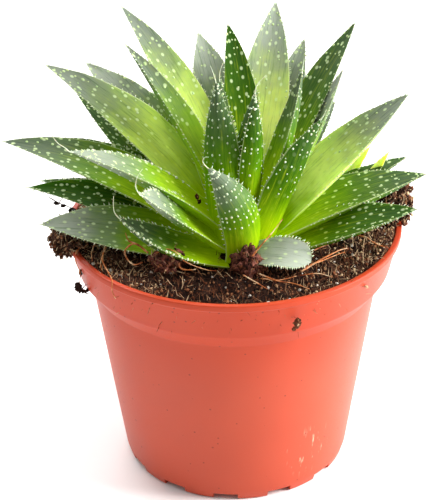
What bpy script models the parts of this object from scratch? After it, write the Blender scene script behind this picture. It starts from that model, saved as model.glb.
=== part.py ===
"""A lace aloe in a round plastic nursery pot.

The pot is a turned shell. The leaves of the rosette grow from a short stem in five whorls, and each leaf
is one fleshy solid carried along its own midrib. Soil, loose roots and a small offset fill the top of the
pot. Metres, +Z up, the front towards -Y. The dimensions below are measured from the pot's axis, and the
finished object is centred: its origin is on the resting surface, under the middle of its plan box.
"""
import math

import bmesh
import bpy
import numpy as np
from mathutils import Matrix, Vector, noise

MM = 0.001
GAP = 0.3 * MM

# Pot, in millimetres: radii and heights of its turned outline.
POT_HEIGHT = 93.0
RIM_RADIUS = 60.0
LIP_HEIGHT = 2.7
LIP_STANDS_OUT = 1.0
COLLAR_BOTTOM = (56.3, 78.5)
STEP_BOTTOM = (51.8, 72.3)
FOOT_RADIUS = 41.0
FOOT_BEVEL_HEIGHT = 3.4
FOOT_WIDTH = 2.4
FLOOR_HEIGHT = 3.0
WALL = 1.1
LIP_CUT_BELOW = 12.0
POT_STEPS = 48
NOTCH_COUNT = 13
NOTCH_FIRST_ANGLE = 264.5
NOTCH_WIDTH = 9.0
NOTCH_HEIGHT = 2.5
NOTCH_REACH = 12.0
DRAIN_COUNT = 7
DRAIN_CIRCLE = 26.0
DRAIN_RADIUS = 4.0
DRAIN_SIDES = 12
DRAIN_CUT_DEPTH = 6.0

# Soil, in millimetres.
SOIL_EDGE_HEIGHT = 89.5
SOIL_MOUND = 4.5
SOIL_BANK = 4.0
MOUND_RADIUS = 26.0
BANK_RADIUS = 56.0
SOIL_INSET = 1.2
SOIL_BUMP_SIZE = 9.0
SOIL_BUMP_HEIGHT = 1.6
SOIL_RINGS = 5
SOIL_STEPS = 40

# The rosette: the centre of its crown, and each whorl's root radius and root height on the stem.
CROWN = (2.0, -14.0)
WHORLS = {
    "heart": (3.0, 108.0),
    "inner": (6.0, 105.0),
    "middle": (8.0, 101.0),
    "outer": (10.5, 96.5),
    "low": (13.5, 92.5),
}
STEM_OUTLINE = ((0.6, 109.0), (1.6, 106.0), (3.4, 101.0), (5.6, 96.5), (8.6, 91.0), (6.0, 70.0))
STEM_STEPS = 20

# A leaf's blade: fractions of its length or of its width.
LEAF_SIDES = 8
LEAF_RINGS = 12
WIDEST_AT = 0.42
ROOT_WIDTH = 0.88
TAPER = 1.9
CUP = 0.12
UPPER_CROWN = 0.03
KEEL = 0.22

# One row a leaf. Each is seated on its whorl at an angle (0 is +X, 90 is the back), and its tip stands at
# a bearing and reach from the crown's centre, at a height. The midrib bows by `arch` to the inner side
# and by `sweep` sideways. The blade has a width, a roll about its midrib and a cup. Degrees, millimetres.
LEAVES = (
    # whorl, seat, bearing, reach, height, arch, sweep, width, roll, cup
    ("heart", 130, 117, 14, 149, -2, 0, 9, 5, CUP),
    ("heart", 200, 20, 6, 148, -2, 1, 9, 0, CUP),
    ("heart", 20, 60, 4, 136, 0, 0, 6, 0, CUP),
    ("inner", 150, 145, 48, 156, 5, 0, 11, 0, 0.30),
    ("inner", 300, 325, 7, 149, -4, -1, 10, 5, CUP),
    ("inner", 95, 94, 51, 154, 3, -6, 13, 0, CUP),
    ("inner", 350, 35, 27, 151, -4, 0, 12, 25, 0.20),
    ("middle", 125, 128, 68, 160, 7, -7, 16, 0, CUP),
    ("middle", 155, 154, 76, 146, 10, -3, 18, -15, CUP),
    ("middle", 210, 203, 60, 139, 7, -2, 16, -15, CUP),
    ("middle", 80, 77, 63, 158, 7, -3, 19, 5, CUP),
    ("middle", 45, 47, 62, 156, 3, 1, 15, 0, CUP),
    ("outer", 135, 135, 79, 137, 8, -3, 20, -20, CUP),
    ("outer", 175, 170, 84, 125, 11, -2, 19, -20, CUP),
    ("outer", 155, 154, 73, 118, 7, -3, 15, -10, CUP),
    ("outer", 235, 224, 45, 127, 3, -5, 16, -40, CUP),
    ("outer", 250, 139, 10, 150, -6, 1, 15, -5, CUP),
    ("outer", 105, 103, 64, 146, 7, -3, 20, -5, CUP),
    ("outer", 65, 65, 58, 147, 5, -1, 16, 5, CUP),
    ("outer", 35, 38, 47, 145, 2, -4, 12, -10, CUP),
    ("outer", 318, 356, 28, 140, 3, -1, 16, -5, CUP),
    ("outer", 15, 24, 66, 136, 2, 1, 20, 10, CUP),
    ("outer", 345, 10, 67, 112, 5, 0, 22, 10, CUP),
    ("outer", 118, 117, 72, 130, 6, 0, 17, 0, CUP),
    ("outer", 85, 88, 62, 127, 5, 0, 17, 0, CUP),
    ("outer", 52, 52, 58, 125, 5, 0, 16, 0, CUP),
    ("low", 150, 137, 82, 125, 3, -1, 16, -10, CUP),
    ("low", 180, 168, 77, 106, 9, -2, 15, -25, CUP),
    ("low", 165, 159, 77, 103, 5, -2, 15, -10, CUP),
    ("low", 205, 190, 69, 106, 2, -5, 20, -30, CUP),
    ("low", 250, 211, 47, 115, -4, -6, 14, -50, CUP),
    ("low", 275, 228, 16, 127, -7, 10, 15, 25, CUP),
    ("low", 25, 23, 66, 112, 3, 0, 15, -5, CUP),
    ("low", 335, 346, 62, 112, 2, 1, 17, 20, CUP),
    ("low", 120, 116, 64, 113, 5, 0, 16, 0, CUP),
    ("low", 95, 93, 60, 108, 4, 0, 16, 0, CUP),
    ("low", 70, 66, 62, 112, 5, 0, 16, 0, CUP),
    ("low", 45, 45, 60, 108, 4, 0, 15, 0, CUP),
)

# Small blades: name, root, tip, seat, arch, roll, width, taper.
SMALL_BLADES = (
    ("pup_leaf", (8, -31, 96), (26, -38, 97), 340, 3, 20, 13, 5.0),
    ("shoot_1", (34, 12, 96), (48, 8, 117.5), 100, -2, 0, 4.5, 1.6),
    ("shoot_2", (45, 12, 96), (55, 5, 117), 100, -3, 0, 4, 1.6),
)

# Lumps of peat and fibre: name, centre, radii.
LUMPS = (
    ("pup_clod", (5.0, -36.0, 94.5), (4.5, 4.0, 6.0)),
    ("root_clod", (-23.0, -33.0, 97.0), (5.5, 4.0, 4.0)),
    ("soil_clump_left", (-57.5, -15.0, 94.8), (6.0, 8.0, 4.0)),
    ("soil_clump_right", (57.5, 8.0, 95.8), (6.0, 11.0, 4.5)),
)
LUMP_ROUGHNESS = 0.25

# Loose surface roots: name, radius, and the points that each passes through.
ROOTS = (
    ("root_left", 0.5, ((-29, -34, 99), (-33.5, -32, 101.5), (-37, -31, 98.5), (-36.5, -32, 95.8),
                        (-34, -35.5, 95.3), (-31, -34.5, 95.6))),
    ("root_right", 0.5, ((-21, -36.5, 99), (-19.5, -36, 96.5), (-18, -37, 94.5), (-16, -37.5, 94.2),
                         (-13, -37, 94))),
    ("root_pup", 0.45, ((22.5, -39, 94), (29.4, -33, 95), (35.5, -27, 95), (39, -24.5, 94.8))),
    ("root_rim", 0.4, ((41, -16, 95.5), (46, -19, 95.8), (49, -22, 95), (53.5, -23.5, 94))),
)


def start_clean():
    for obj in list(bpy.data.objects):
        bpy.data.objects.remove(obj, do_unlink=True)


def collection(name, hidden=False):
    made = bpy.data.collections.new(name)
    bpy.context.scene.collection.children.link(made)
    made.hide_render = hidden
    return made


def material(name, colour, roughness):
    made = bpy.data.materials.new(name)
    made.use_nodes = True
    shader = made.node_tree.nodes["Principled BSDF"]
    shader.inputs["Base Color"].default_value = (*colour, 1.0)
    shader.inputs["Roughness"].default_value = roughness
    shader.inputs["Metallic"].default_value = 0.0
    return made


def object_of(name, bm, where, look=None):
    """The bmesh as an object of this collection, with its faces turned outwards."""
    bmesh.ops.recalc_face_normals(bm, faces=bm.faces)
    mesh = bpy.data.meshes.new(name)
    bm.to_mesh(mesh)
    bm.free()
    mesh.shade_smooth()
    mesh.set_sharp_from_angle(angle=math.radians(40))
    obj = bpy.data.objects.new(name, mesh)
    where.objects.link(obj)
    if look:
        mesh.materials.append(look)
    return obj


def screw(obj, steps):
    turn = obj.modifiers.new("Screw", "SCREW")
    turn.steps = steps
    turn.render_steps = steps
    turn.use_merge_vertices = True
    turn.merge_threshold = 0.01 * MM
    turn.use_smooth_shade = True


def turned(name, outline, steps, where, look):
    """A solid of revolution from (radius, height) points in millimetres, top to bottom on the outside."""
    mesh = bpy.data.meshes.new(name)
    points = [(radius * MM, 0.0, height * MM) for radius, height in outline]
    mesh.from_pydata(points, [(i, i + 1) for i in range(len(points) - 1)], [])
    obj = bpy.data.objects.new(name, mesh)
    where.objects.link(obj)
    mesh.materials.append(look)
    screw(obj, steps)
    return obj


def cut(obj, cutter):
    boolean = obj.modifiers.new("Cut", "BOOLEAN")
    boolean.operation = "DIFFERENCE"
    boolean.solver = "EXACT"
    boolean.object = cutter


def apply_modifiers(obj):
    """The evaluated mesh in place of the modifiers."""
    graph = bpy.context.evaluated_depsgraph_get()
    mesh = bpy.data.meshes.new_from_object(obj.evaluated_get(graph))
    obj.modifiers.clear()
    obj.data = mesh


def keep_largest(obj):
    """Removes the loose scraps that a cut leaves beside the main body."""
    bm = bmesh.new()
    bm.from_mesh(obj.data)
    left = set(bm.verts)
    islands = []
    while left:
        island = {left.pop()}
        edge = set(island)
        while edge:
            edge = {e.other_vert(v) for v in edge for e in v.link_edges} & left
            left -= edge
            island |= edge
        islands.append(island)
    largest = max(islands, key=len)
    bmesh.ops.delete(bm, geom=[v for v in bm.verts if v not in largest], context="VERTS")
    bm.to_mesh(obj.data)
    bm.free()


# The pot


def outer_wall():
    """The outside of the pot from its lip down to the foot, as (radius, height)."""
    lip_bottom = POT_HEIGHT - LIP_HEIGHT
    return [
        (RIM_RADIUS - 0.5, POT_HEIGHT),
        (RIM_RADIUS, POT_HEIGHT - 0.5),
        (RIM_RADIUS, lip_bottom + 0.4),
        (RIM_RADIUS - LIP_STANDS_OUT, lip_bottom),
        COLLAR_BOTTOM,
        STEP_BOTTOM,
        (FOOT_RADIUS + 1.0, FOOT_BEVEL_HEIGHT),
        (FOOT_RADIUS, 0.0),
        (FOOT_RADIUS - FOOT_WIDTH, 0.0),
        (FOOT_RADIUS - FOOT_WIDTH, FLOOR_HEIGHT),
        (0.0, FLOOR_HEIGHT),
    ]


def inner_wall(clearance=0.0):
    """The inside of the pot from the lip down to the floor, shrunk by a clearance."""
    step = WALL + clearance
    return [
        (RIM_RADIUS - LIP_STANDS_OUT - step, POT_HEIGHT),
        (COLLAR_BOTTOM[0] - step, COLLAR_BOTTOM[1]),
        (STEP_BOTTOM[0] - step, STEP_BOTTOM[1]),
        (FOOT_RADIUS + 1.5 - step, FLOOR_HEIGHT + step + 2.0),
        (FOOT_RADIUS - 1.0 - step, FLOOR_HEIGHT + step),
        (0.0, FLOOR_HEIGHT + step),
    ]


def build_pot(parts, cutters, look):
    outline = list(reversed(inner_wall())) + outer_wall()
    pot = turned("pot", outline, POT_STEPS, parts, look)
    for i in range(NOTCH_COUNT):
        angle = math.radians(NOTCH_FIRST_ANGLE + 360 * i / NOTCH_COUNT)
        bm = bmesh.new()
        bmesh.ops.create_cube(bm, size=1.0)
        bmesh.ops.scale(bm, vec=(NOTCH_REACH * MM, NOTCH_WIDTH * MM, 2 * NOTCH_HEIGHT * MM), verts=bm.verts)
        bmesh.ops.translate(bm, vec=(FOOT_RADIUS * MM, 0, 0), verts=bm.verts)
        bmesh.ops.rotate(bm, matrix=Matrix.Rotation(angle, 3, "Z"), verts=bm.verts)
        cut(pot, object_of(f"notch_cutter_{i + 1}", bm, cutters))
    for i in range(DRAIN_COUNT):
        bm = bmesh.new()
        bmesh.ops.create_cone(bm, cap_ends=True, segments=DRAIN_SIDES, radius1=DRAIN_RADIUS * MM,
                              radius2=DRAIN_RADIUS * MM, depth=DRAIN_CUT_DEPTH * MM)
        angle = math.radians(360 * i / (DRAIN_COUNT - 1))
        ring = DRAIN_CIRCLE if i < DRAIN_COUNT - 1 else 0.0
        place = (ring * MM * math.cos(angle), ring * MM * math.sin(angle), (FLOOR_HEIGHT + 0.5) * MM)
        bmesh.ops.translate(bm, vec=place, verts=bm.verts)
        cut(pot, object_of(f"drain_cutter_{i + 1}", bm, cutters))
    return pot


def build_lip_clearance(cutters):
    """A ring that is the pot's collar and lip grown by the gap. It keeps lumps of soil off them."""
    gap = GAP / MM
    outside = RIM_RADIUS + gap
    inside = RIM_RADIUS - LIP_STANDS_OUT - WALL - gap
    foot = STEP_BOTTOM[1] - LIP_CUT_BELOW
    outline = [
        (outside, POT_HEIGHT + gap),
        (outside, foot),
        (STEP_BOTTOM[0] - WALL - gap, foot),
        (inside, POT_HEIGHT + gap),
        (outside, POT_HEIGHT + gap),
    ]
    ring = turned("lip_clearance", outline, POT_STEPS, cutters, None)
    apply_modifiers(ring)
    return ring


# The leaves


def blade_width(t, taper):
    """The blade's width along its length, as a fraction of its greatest width."""
    rising = ROOT_WIDTH + (1 - ROOT_WIDTH) * np.sin(np.pi / 2 * np.clip(t / WIDEST_AT, 0, 1))
    falling = 1 - np.clip((t - WIDEST_AT) / (1 - WIDEST_AT), 0, 1) ** taper
    return np.where(t < WIDEST_AT, rising, falling)


def crown_point(angle, radius, height):
    turn = math.radians(angle)
    return np.array([CROWN[0] + radius * math.cos(turn), CROWN[1] + radius * math.sin(turn), height])


def unit(vectors):
    return vectors / np.linalg.norm(vectors, axis=-1, keepdims=True)


def midrib(row):
    """The leaf's midrib as a function of t: its point, its sideways axis and its inward axis."""
    whorl, seat, bearing, reach, height, arch, sweep, _, roll, _ = row
    radius, root_height = WHORLS[whorl]
    root = crown_point(seat, radius, root_height)
    tip = crown_point(bearing, reach, height)
    return bowed(root, tip, seat, arch, sweep, roll)


def bowed(root, tip, seat, arch, sweep, roll):
    along = unit(tip - root)
    turn = math.radians(seat)
    side = np.array([-math.sin(turn), math.cos(turn), 0.0])
    side = unit(side - (side @ along) * along)
    inward = np.cross(along, side)
    knee = (root + tip) / 2 + inward * arch + side * sweep
    tilt = math.radians(roll)

    def frame(t):
        t = t[:, None]
        point = (1 - t) ** 2 * root + 2 * t * (1 - t) * knee + t * t * tip
        heading = unit(2 * (1 - t) * (knee - root) + 2 * t * (tip - knee))
        across = unit(side - (heading @ side)[:, None] * heading)
        up = np.cross(heading, across)
        turned_across = across * math.cos(tilt) + up * math.sin(tilt)
        turned_up = up * math.cos(tilt) - across * math.sin(tilt)
        return point, turned_across, turned_up, heading

    return frame


def leaf_mesh(frame, width, cup, grow=0.0, taper=TAPER):
    """A sphere whose poles go to the root and the tip, and whose rings become the blade's sections."""
    bm = bmesh.new()
    bmesh.ops.create_uvsphere(bm, u_segments=LEAF_SIDES, v_segments=LEAF_RINGS, radius=1.0)
    half_step = math.pi / LEAF_SIDES
    ball = np.array([v.co[:] for v in bm.verts], float)
    pole = np.abs(ball[:, 2]) > 0.9999
    around = np.arctan2(ball[:, 1], ball[:, 0]) + half_step
    cosine = np.where(pole, 0.0, np.cos(around) / math.cos(half_step))
    sine = np.where(pole, 0.0, np.sin(around))
    t = (1 - ball[:, 2]) / 2
    blade = np.maximum(width * blade_width(t, taper), 1.0)
    sideways = cosine * (blade / 2 + grow)
    thickness = np.where(sine > 0, UPPER_CROWN, KEEL) * blade * sine + np.sign(sine) * grow
    lift = cup * blade * (2 * sideways / blade) ** 2 + thickness
    onward = np.where(pole, np.sign(t - 0.5) * grow, 0.0)
    point, across, up, heading = frame(t)
    places = point + across * sideways[:, None] + up * lift[:, None] + heading * onward[:, None]
    for vertex, place in zip(bm.verts, places):
        vertex.co = Vector(place * MM)
    return bm


def overlapping(a, b):
    """Whether the two objects' boxes meet."""
    def box(obj):
        corners = np.array([v.co[:] for v in obj.data.vertices])
        return corners.min(axis=0), corners.max(axis=0)

    (low_a, high_a), (low_b, high_b) = box(a), box(b)
    return bool(np.all(low_a < high_b) and np.all(low_b < high_a))


def cut_clear(obj, clear):
    """Cuts the object clear of every grown neighbour that it meets, and keeps its main body."""
    for cutter in clear:
        if overlapping(obj, cutter):
            cut(obj, cutter)
    apply_modifiers(obj)
    keep_largest(obj)


def build_stem(parts, cutters, look):
    """The stem, and its grown twin that cuts what stands against it."""
    made = []
    for name, grow, where in (("stem", 0.0, parts), ("stem_clearance", GAP / MM, cutters)):
        outline = [(radius + grow, height) for radius, height in STEM_OUTLINE]
        ends = [(0.0, STEM_OUTLINE[0][1] + grow)], [(0.0, STEM_OUTLINE[-1][1] - grow)]
        stem = turned(name, ends[0] + outline + ends[1], STEM_STEPS, where, look)
        apply_modifiers(stem)
        stem.data.transform(Matrix.Translation((CROWN[0] * MM, CROWN[1] * MM, 0.0)))
        made.append(stem)
    return made


def build_leaf(name, frame, width, cup, taper, parts, cutters, look, clear):
    leaf = object_of(name, leaf_mesh(frame, width, cup, taper=taper), parts, look)
    cut_clear(leaf, clear)
    grown = leaf_mesh(frame, width, cup, grow=GAP / MM, taper=taper)
    clear.append(object_of(name + "_clearance", grown, cutters))
    return leaf


def build_leaves(parts, cutters, looks, clear):
    """The leaves from the heart outwards, each cut clear of the stem and of the leaves already made."""
    counts = {}
    for row in LEAVES:
        whorl, width, cup = row[0], row[7], row[9]
        counts[whorl] = counts.get(whorl, 0) + 1
        name = f"leaf_{whorl}_{counts[whorl]}"
        build_leaf(name, midrib(row), width, cup, TAPER, parts, cutters, looks[whorl], clear)


def build_small_blades(parts, cutters, look, clear):
    """The offset's single blunt leaf and the two narrow shoots."""
    for name, root, tip, seat, arch, roll, width, taper in SMALL_BLADES:
        frame = bowed(np.array(root, float), np.array(tip, float), seat, arch, 0.0, roll)
        build_leaf(name, frame, width, CUP, taper, parts, cutters, look, clear)


# Soil, clods and roots


def bump(point, size, amount):
    """A repeatable unevenness, in millimetres."""
    return amount * noise.noise(Vector(point) / size)


def lump_mesh(centre, radii, grow, rough):
    """An uneven ellipsoid, in millimetres."""
    bm = bmesh.new()
    bmesh.ops.create_icosphere(bm, subdivisions=2, radius=1.0)
    for vertex in bm.verts:
        away = Vector(vertex.co)
        swell = 1 + bump(away + Vector(centre), 0.6, rough)
        spot = [centre[i] + away[i] * (radii[i] * swell + grow) for i in range(3)]
        vertex.co = Vector(spot) * MM
    return bm


def build_lumps(parts, cutters, look, clear):
    for name, centre, radii in LUMPS:
        lump = object_of(name, lump_mesh(centre, radii, 0.0, LUMP_ROUGHNESS), parts, look)
        cut_clear(lump, clear)
        grown = lump_mesh(centre, radii, GAP / MM, LUMP_ROUGHNESS)
        clear.append(object_of(name + "_clearance", grown, cutters))


def soil_height(x, y):
    """The top of the soil: a mound under the crown, and banks against the rim at both sides."""
    from_crown = math.hypot(x - CROWN[0], y - CROWN[1])
    from_centre = math.hypot(x, y)
    mound = SOIL_MOUND * math.exp(-((from_crown / MOUND_RADIUS) ** 2))
    sideways = abs(x) / max(from_centre, 1.0)
    bank = SOIL_BANK * sideways ** 3 * min(from_centre / BANK_RADIUS, 1.0) ** 2
    back = SOIL_BANK * max(y, 0.0) / RIM_RADIUS
    unevenness = bump((x, y, 0.0), SOIL_BUMP_SIZE, SOIL_BUMP_HEIGHT)
    return SOIL_EDGE_HEIGHT + mound + max(bank, back) + unevenness


def build_soil(parts, look, clear):
    """A turned body that fits the pot with a gap, its top rings raised to the soil's surface."""
    wall = inner_wall(clearance=GAP / MM)
    rim_inner = wall[0][0] - SOIL_INSET
    rings = [(rim_inner * i / SOIL_RINGS, POT_HEIGHT) for i in range(SOIL_RINGS)]
    outline = rings + [(rim_inner, POT_HEIGHT)] + wall[1:]
    soil = turned("soil", outline, SOIL_STEPS, parts, look)
    apply_modifiers(soil)
    for vertex in soil.data.vertices:
        x, y, z = vertex.co / MM
        if z > POT_HEIGHT - 0.5:
            vertex.co.z = soil_height(x, y) * MM
    cut_clear(soil, clear)
    return soil


def tube(name, radius, route, where):
    """A round tube through the route's points, as a closed mesh."""
    curve = bpy.data.curves.new(name, "CURVE")
    curve.dimensions = "3D"
    curve.bevel_depth = radius * MM
    curve.bevel_resolution = 1
    curve.use_fill_caps = True
    curve.resolution_u = 3
    spline = curve.splines.new("BEZIER")
    spline.bezier_points.add(len(route) - 1)
    for knot, place in zip(spline.bezier_points, route):
        knot.co = Vector(place) * MM
        knot.handle_left_type = "AUTO"
        knot.handle_right_type = "AUTO"
    guide = bpy.data.objects.new(name + "_guide", curve)
    where.objects.link(guide)
    graph = bpy.context.evaluated_depsgraph_get()
    bm = bmesh.new()
    bm.from_mesh(bpy.data.meshes.new_from_object(guide.evaluated_get(graph)))
    bpy.data.objects.remove(guide)
    bmesh.ops.remove_doubles(bm, verts=bm.verts, dist=0.001 * MM)
    return bm


def build_roots(parts, cutters, look, clear):
    """Loose surface roots, each cut clear of the leaves and lumps that it meets."""
    for name, radius, route in ROOTS:
        root = object_of(name, tube(name, radius, route, parts), parts, look)
        cut_clear(root, clear)
        grown = tube(name, radius + GAP / MM, route, cutters)
        clear.append(object_of(name + "_clearance", grown, cutters))


def centre_plan_box(parts):
    """Moves every part so that the plant's and the pot's common box stands centred on the origin."""
    corners = []
    for obj in parts.objects:
        apply_modifiers(obj)
        corners += [v.co.xy[:] for v in obj.data.vertices]
    corners = np.array(corners)
    middle = (corners.min(axis=0) + corners.max(axis=0)) / 2
    for obj in parts.objects:
        obj.data.transform(Matrix.Translation((-middle[0], -middle[1], 0.0)))


def main():
    start_clean()
    parts = collection("potted_aloe")
    cutters = collection("cutters", hidden=True)
    plastic = material("terracotta_coloured_plastic", (0.78, 0.16, 0.07), 0.42)
    peat = material("peat_soil", (0.035, 0.018, 0.011), 0.95)
    root_skin = material("root_skin", (0.50, 0.23, 0.08), 0.7)
    stem_skin = material("stem_skin", (0.45, 0.50, 0.20), 0.6)
    young = material("leaf_young", (0.13, 0.27, 0.03), 0.4)
    grown = material("leaf_grown", (0.24, 0.38, 0.07), 0.45)
    old = material("leaf_old", (0.10, 0.18, 0.08), 0.5)
    looks = {"heart": young, "inner": young, "middle": grown, "outer": grown, "low": old}

    build_pot(parts, cutters, plastic)
    lip_cutter = build_lip_clearance(cutters)
    _, stem_cutter = build_stem(parts, cutters, stem_skin)
    clear = [stem_cutter]
    build_leaves(parts, cutters, looks, clear)
    build_small_blades(parts, cutters, old, clear)
    clear.append(lip_cutter)
    build_lumps(parts, cutters, peat, clear)
    clear.remove(lip_cutter)
    build_roots(parts, cutters, root_skin, clear)
    build_soil(parts, peat, clear)
    centre_plan_box(parts)
    for cutter in cutters.objects:
        cutter.hide_render = True
        cutter.display_type = "WIRE"


main()
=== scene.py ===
# %% [markdown]
# # A lace aloe in a nursery pot
# The plant is dressed in Blender around a plain CAD model, which is loaded first and never changed. The CAD
# says where the pot, the soil and each leaf are. What is added here is what the eye looks for: smooth
# blades, soft white teeth, rows of white bumps, hair-like tips, crumbly peat and moulded plastic.

# %% Load the frame
import math
import bmesh
import bpy
import numpy as np
from mathutils import Matrix, Vector, noise


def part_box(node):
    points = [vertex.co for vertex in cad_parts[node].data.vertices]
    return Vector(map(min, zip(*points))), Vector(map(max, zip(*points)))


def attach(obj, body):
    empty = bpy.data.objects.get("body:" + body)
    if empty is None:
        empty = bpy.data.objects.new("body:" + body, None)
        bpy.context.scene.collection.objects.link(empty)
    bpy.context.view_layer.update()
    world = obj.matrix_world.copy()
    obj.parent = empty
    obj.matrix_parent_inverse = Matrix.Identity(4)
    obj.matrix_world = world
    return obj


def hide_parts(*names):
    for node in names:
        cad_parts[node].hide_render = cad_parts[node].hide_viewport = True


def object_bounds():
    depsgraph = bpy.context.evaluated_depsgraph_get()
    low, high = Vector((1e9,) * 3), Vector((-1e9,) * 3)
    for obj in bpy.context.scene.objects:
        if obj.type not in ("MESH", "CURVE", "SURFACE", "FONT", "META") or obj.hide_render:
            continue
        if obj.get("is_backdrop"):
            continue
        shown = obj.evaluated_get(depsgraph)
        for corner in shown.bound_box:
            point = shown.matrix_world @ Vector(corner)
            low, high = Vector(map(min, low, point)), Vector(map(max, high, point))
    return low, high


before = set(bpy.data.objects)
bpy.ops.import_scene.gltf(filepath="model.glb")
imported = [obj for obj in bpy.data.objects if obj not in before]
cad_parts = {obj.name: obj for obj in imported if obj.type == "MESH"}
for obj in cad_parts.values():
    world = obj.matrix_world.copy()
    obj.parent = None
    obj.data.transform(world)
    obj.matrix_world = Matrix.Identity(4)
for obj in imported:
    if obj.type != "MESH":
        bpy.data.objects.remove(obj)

cad_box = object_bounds()
pot_low, pot_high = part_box("pot")
AXIS = Vector(((pot_low.x + pot_high.x) / 2, (pot_low.y + pot_high.y) / 2, 0.0))
print("CAD nodes:", len(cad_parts), "and the pot's axis at", [round(1000 * v, 2) for v in AXIS])

# %% [markdown]
# ## Units and small helpers
# Every size below is in millimetres from the pot's axis, with the front of the pot towards -Y. One function
# turns such a point into Blender's metres. A finished piece always rides on the CAD's only body, and stands
# for the CAD nodes that it covers.

# %% Helpers for places and pieces
MM = 0.001


def metres(points):
    """Points in millimetres from the pot's axis, as an array in metres."""
    return np.asarray(points, float) * MM + np.array(AXIS)


def piece_of(name, mesh, stands_for=()):
    """Puts a finished mesh in the scene as a piece."""
    made = bpy.data.objects.new(name, mesh)
    bpy.context.scene.collection.objects.link(made)
    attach(made, "root")
    if stands_for:
        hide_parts(*stands_for)
    return made


def mesh_of(name, points, faces, material, smooth=True):
    """A mesh from points in metres, its normals turned outwards."""
    mesh = bpy.data.meshes.new(name)
    mesh.from_pydata([tuple(p) for p in points], [], faces)
    bm = bmesh.new()
    bm.from_mesh(mesh)
    bmesh.ops.recalc_face_normals(bm, faces=bm.faces)
    bm.to_mesh(mesh)
    bm.free()
    if smooth:
        mesh.shade_smooth()
    mesh.materials.append(material)
    return mesh


def values_of(items, key, width=1, kind=np.float32):
    """One property of all the items of a collection, as an array."""
    values = np.empty(len(items) * width, kind)
    items.foreach_get(key, values)
    return values


def joined(name, meshes):
    """Several meshes as one, with the first one's material, and their shades if they have them."""
    points = np.concatenate([values_of(mesh.vertices, "co", 3) for mesh in meshes])
    before = np.cumsum([0] + [len(mesh.vertices) for mesh in meshes])
    corners = np.concatenate([
        values_of(mesh.loops, "vertex_index", 1, np.int32) + first for mesh, first in zip(meshes, before)
    ]).astype(np.int32)
    sizes = np.concatenate([values_of(mesh.polygons, "loop_total", 1, np.int32) for mesh in meshes])
    made = bpy.data.meshes.new(name)
    made.vertices.add(len(points) // 3)
    made.loops.add(len(corners))
    made.polygons.add(len(sizes))
    made.vertices.foreach_set("co", points)
    made.loops.foreach_set("vertex_index", corners)
    made.polygons.foreach_set("loop_start", np.concatenate([[0], np.cumsum(sizes)[:-1]]).astype(np.int32))
    made.update(calc_edges=True)
    made.shade_smooth()
    made.materials.append([material for material in meshes[0].materials if material][0])
    if all("shade" in mesh.attributes for mesh in meshes):
        shades = [values_of(mesh.attributes["shade"].data, "value") for mesh in meshes]
        store(made, "shade", np.concatenate(shades))
    return made


def store(mesh, name, values):
    """Keeps one number or one vector for each point of the mesh."""
    values = np.asarray(values, np.float32)
    kind, key = ("FLOAT", "value") if values.ndim == 1 else ("FLOAT_VECTOR", "vector")
    layer = mesh.attributes.get(name) or mesh.attributes.new(name, kind, "POINT")
    layer.data.foreach_set(key, values.ravel())


print("the pot's rim spans", round((pot_high.x - pot_low.x) / MM, 1), "mm")

# %% [markdown]
# ## Colours and nodes
# A colour picked on a screen is sRGB, while Blender's shaders work in linear light, so one function converts
# them. One more function adds any node, sets it and links it, for materials and for Geometry Nodes alike.

# %% Helpers for colours and nodes


def linear(hex_colour):
    """An sRGB colour such as "A0C040" as linear RGBA."""
    parts = [int(hex_colour[i:i + 2], 16) / 255 for i in (0, 2, 4)]
    return [p / 12.92 if p <= 0.04045 else ((p + 0.055) / 1.055) ** 2.4 for p in parts] + [1.0]


def add(tree, kind, inputs=None, stops=(), **settings):
    """A new node. An input is a value, or another node's output that is linked to it.

    Stops are the (position, hex colour) pairs of a colour ramp.
    """
    made = tree.nodes.new(kind)
    for name, value in settings.items():
        setattr(made, name, value)
    for socket, value in (inputs or {}).items():
        if isinstance(value, bpy.types.NodeSocket):
            tree.links.new(value, made.inputs[socket])
        else:
            made.inputs[socket].default_value = value
    for _ in stops[2:]:
        made.color_ramp.elements.new(0.5)
    for place, (position, colour) in enumerate(stops):
        made.color_ramp.elements[place].position = position
        made.color_ramp.elements[place].color = linear(colour)
    return made


def plain_material(name, **sockets):
    """A material with one Principled shader, and the constants set on its own sockets."""
    material = bpy.data.materials.new(name)
    material.use_nodes = True
    shader = material.node_tree.nodes["Principled BSDF"]
    for socket, value in sockets.items():
        shader.inputs[socket.replace("_", " ")].default_value = value
    return material, material.node_tree, shader


print("bright terracotta plastic in linear light:", [round(v, 3) for v in linear("E86A48")[:3]])

# %% [markdown]
# ## Leaf skin
# An aloe's leaf has a thin waxy skin over clear, juicy flesh. It is yellow-green near the root, where a
# painted glow, a paler colour and a little light of its own, stands in for light that passes through. Towards
# the tip it turns dark, with a grey bloom of wax and a painted grey sheen. The inner face shows pale streaks
# that run along the leaf, and the outer face is a deeper green. The pattern follows the leaf, so it reads
# attributes that the leaf's mesh will carry: how far along and across a point is, which face it is on, its
# place on the skin, and three numbers for each leaf's habit: glow, a painted glow; bloom, wax with a painted
# sheen; and depth, a painted shade for leaves in the shadow of others. Soft pale flecks lie inside the skin,
# and fade towards the root.

# %% Material: waxy aloe skin
leaf_skin, tree, shader = plain_material(
    "waxy_aloe_skin", Subsurface_Scale=0.006, IOR=1.42, Specular_IOR_Level=0.04,
)
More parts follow.
